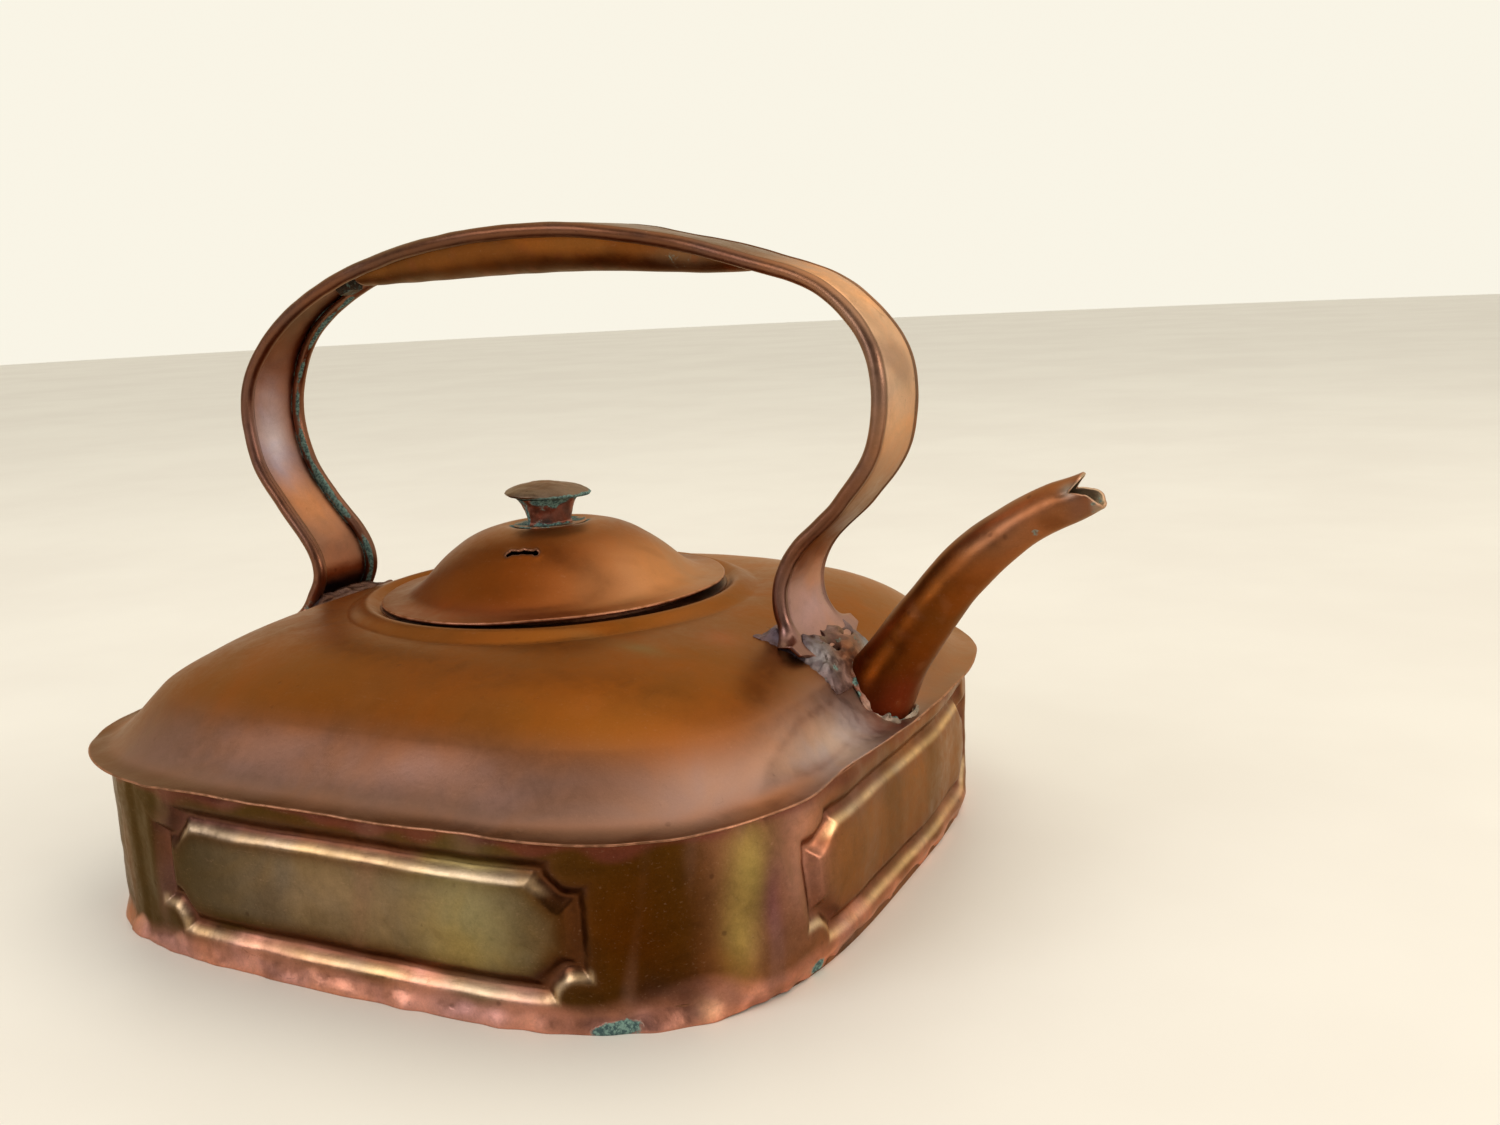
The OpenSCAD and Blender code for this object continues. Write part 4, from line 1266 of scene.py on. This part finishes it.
def spout_frame(k):
    return along_route(SPOUT_ROUTE, k, 0.05)


def spout_radius(k):
    return mix(SPOUT_BASE_R, SPOUT_TIP_R, 1 - (1 - k / (len(SPOUT_ROUTE) - 1)) ** 1.9)


def spout():
    last = len(SPOUT_ROUTE) - 1
    a = np.arange(300) * TAU / 300
    k = np.concatenate([np.linspace(0.62, 2, 40)[:-1], np.linspace(2, last, 170)])
    place, along = spout_frame(k)
    bend = smooth((k - 2.4) / 1.2) * smooth((last + 0.3 - k) / 1.6)
    radius = spout_radius(np.maximum(k, 0.8)) + 0.35 * bend
    radius[k < 2] = mix(SPOUT_BASE_R, radius[k >= 2][0], smooth((k[k < 2] - 0.62) / 1.38))
    p = np.empty((len(a), len(k), 3))
    out = radius[None, :] * (1 + 0.03 * np.sin(2 * a)[:, None])
    near_end = smooth((k - (last - 0.85)) / 0.85)[None, :]
    s = np.sin(a)[:, None]
    up = s * out * (1 - 0.14 * near_end * np.maximum(s, 0) ** 2)
    p[..., 0] = place[:, 0] - along[:, 1] * up
    p[..., 1] = np.cos(a)[:, None] * out
    p[..., 2] = place[:, 1] + along[:, 0] * up + 0.9 * bend
    # the mouth: a beak with a notch each side and a longer, spooned lower lip
    edge = catmull(MOUTH, np.linspace(0, len(MOUTH) - 1, 600))
    reach = np.interp(s, edge[:, 0], edge[:, 1]) + 0.25 * waves(p, 4, 121) * (s < 0)
    for axis, m in ((0, along[-1, 0]), (2, along[-1, 1])):
        p[..., axis] += near_end * reach * m
    p[..., 2] += near_end**2 * np.where(s < 0, 0.6 * s * s, 0.3 * s * s)
    relief = waves(p, 24, 122) * 0.22 + waves(p, 8, 123) * 0.06 - 0.4 * blob(p, (128, -8, 92), 6)
    p = p + grid_normals(p, True) * relief[..., None]
    strokes = [
        (lambda q: smooth((104 - q[:, 2]) / 45), (74, 32, 3), 0.9),
        (lambda q: smooth((64 - q[:, 2] + 0.3 * (q[:, 0] - 104)) / 9), (78, 28, 14), 0.8),
        (((144, -4, 108), (28, 10, 12)), (128, 88, 62), 0.6),
        (((128, -11, 84), (12, 6, 22)), (88, 46, 10), 0.6),
        (patches(14, 124, 0.2, 1.2), (70, 36, 10), 0.4),
        (patches(6, 125, 0.6, 1.2), (116, 74, 46), 0.25),
        (lambda q: smooth((q[:, 0] - 160) / 6), (104, 70, 52), 0.6),
        (((162.5, -4.9, 115.8), (2.2, 3, 1.8)), (128, 118, 100), 0.8),
        (((162.5, 4.9, 115.8), (2.2, 3, 1.8)), (128, 118, 100), 0.8),
        (lambda q: smooth((q[:, 0] - 167.5) / 2) * smooth((115.5 - q[:, 2]) / 2), (136, 124, 108), 0.6),
    ]

    def green(q):
        mouth = 0.3 * smooth((q[:, 0] - 165) / 3) * (0.6 + 0.9 * waves(q, 3, 126))
        return mouth + 0.9 * blob(q, (154, -7, 104), (1.8, 3, 1.8)) + 0.4 * blob(q, (116, 3, 52), (4, 5, 4))

    paint = paint_with((112, 62, 22), strokes, {"green": green}, inside=(156, 144, 122))
    obj = shell("spout_beaked", p, SHEET, paint)
    metal = old_metal(
        "spout_copper_dark", gloss=(0.34, 0.46), mottle=0.16, spots=0.35, streak=0.06, bump=0.3
    )
    finish_piece(obj, metal, "spout")


def spout_solder():
    """A thin ragged fillet where the spout meets the shoulder."""
    a = np.arange(260) * TAU / 260
    base, along = spout_frame(np.array([2.0]))
    base, down = base[0], -SPOUT_START
    across = np.linspace(0, 1, 12)
    ring = np.stack([np.cos(a), np.sin(a)], 1)
    size = 1.2 + 0.6 * waves(np.stack([ring[:, 0] * 12, ring[:, 1] * 12, 0 * a], 1), 7, 131)
    size = (np.maximum(size, 0.35) + 2.0 * ridge(a - 3.95, 0.3) + ridge(a - 5.1, 0.35))[:, None]
    r = SPOUT_BASE_R - 0.5 + across[None, :] * (size + 0.5)
    start = np.empty((len(a), len(across), 3))
    start[..., 0] = base[0] - along[0, 1] * r * np.sin(a)[:, None]
    start[..., 1] = r * np.cos(a)[:, None]
    start[..., 2] = base[1] + along[0, 0] * r * np.sin(a)[:, None]
    low, high = np.zeros(r.shape), np.full(r.shape, 45.0)
    for _ in range(20):
        middle = (low + high) / 2
        q = start + down * middle[..., None]
        above = q[..., 2] > shoulder_z(q[..., 0], q[..., 1])
        low, high = np.where(above, middle, low), np.where(above, high, middle)
    foot = start + down * low[..., None]
    foot[..., 2] += shoulder_relief(foot)
    rise = size * 0.9 * (1 - across[None, :]) ** 1.6 * smooth(across[None, :] * 14 + 0.25)
    rise = rise * (1 + 0.35 * waves(foot, 3, 132))
    top = foot - down * rise[..., None]
    top[:, -1, 2] -= 0.3
    strokes = [
        (patches(6, 133), (166, 166, 160), 0.8),
        (((104, -11, 60), (8, 5, 9)), (120, 60, 40), 0.8),
    ]
    paint = paint_with((128, 122, 114), strokes, {"green": lambda q: 0.2 + 0.5 * waves(q, 5, 134)})
    obj = shell("spout_solder_fillet", top, 0.7, paint, side=-1)
    finish_piece(obj, solder_metal, "spout_solder")


spout()
spout_solder()


# ------------------------------------------------------------------ pieces kept from the CAD
def dress(material, *nodes):
    for node in nodes:
        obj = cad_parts[node]
        for slot in obj.material_slots:
            slot.material = material
        if not obj.material_slots:
            obj.data.materials.append(material)


dress(
    old_metal("inner_tarnish", tint=(112, 80, 60), gloss=(0.4, 0.6), mottle=0.5),
    "base_pan", "filler_collar", "lid_skirt", "knob_rivet",
)
dress(
    old_metal("tin_line", tint=(150, 146, 138), gloss=(0.4, 0.6), mottle=0.5, bump=0.9),
    "base_solder", "rim_solder",
)
dress(
    old_metal(
        "grip_end_crust", tint=(64, 52, 42), gloss=(0.5, 0.7), mottle=0.6, bump=1.2, patina=0.42
    ),
    "grip_solder_front", "grip_solder_rear",
)
dress(
    old_metal("rivet_dark", tint=(96, 74, 62), gloss=(0.35, 0.55), mottle=0.5),
    "handle_rivets_front", "handle_rivets_rear",
)


# ------------------------------------------------------------------ floor, world and lights
def floor():
    n = Nodes(bpy.data.materials.new("floor_pale"))
    shade = n.mix(n.ramp(n.noise(260, 4, 0.6), 0.3, 0.7), rgba(232, 226, 216), rgba(238, 233, 223))
    n.plug(shade, n.shader.inputs["Base Color"])
    n.shader.inputs["Roughness"].default_value = 0.5
    bpy.ops.mesh.primitive_circle_add(vertices=128, radius=6, fill_type="NGON")
    obj = bpy.context.object
    obj.name = "floor"
    obj.data.materials.append(n.owner)


def area(name, at, to, size, power, colour):
    """A soft rectangular lamp at a place, aimed at another; lengths here are metres."""
    data = bpy.data.lights.new(name, "AREA")
    data.energy = power
    data.color = colour
    data.shape = "RECTANGLE"
    data.size, data.size_y = size
    obj = bpy.data.objects.new(name, data)
    aim = Vector(to) - Vector(at)
    obj.matrix_world = Matrix.Translation(at) @ aim.to_track_quat("-Z", "Y").to_matrix().to_4x4()
    bpy.context.scene.collection.objects.link(obj)


def light():
    scene = bpy.context.scene
    scene.view_settings.view_transform = "Standard"
    # the room is darker on the near side and brighter on the far side and overhead
    scene.world = bpy.data.worlds.new("studio")
    n = Nodes(scene.world, "Background", "Generated")
    split = n.add("ShaderNodeSeparateXYZ")
    n.plug(n.place, split.inputs[0])
    reach = n.math("ADD", n.math("MULTIPLY", split.outputs["Z"], 0.5), split.outputs["Y"])
    sky = n.mix(n.ramp(reach, -0.55, 0.4), (0.24, 0.205, 0.19, 1), (0.95, 0.91, 0.79, 1))
    n.plug(sky, n.shader.inputs["Color"])
    area("window", (-0.75, -1.25, 0.75), (0, 0, 0.05), (0.8, 0.7), 8, (0.9, 0.92, 1.0))
    area("ceiling", (0.3, 0.2, 1.6), (0, 0, 0.05), (1.8, 1.8), 8, (1.0, 0.95, 0.86))
    area("right_side", (1.5, -0.3, 0.55), (0.05, 0, 0.06), (0.8, 0.5), 7, (1.0, 0.9, 0.84))


floor()
light()
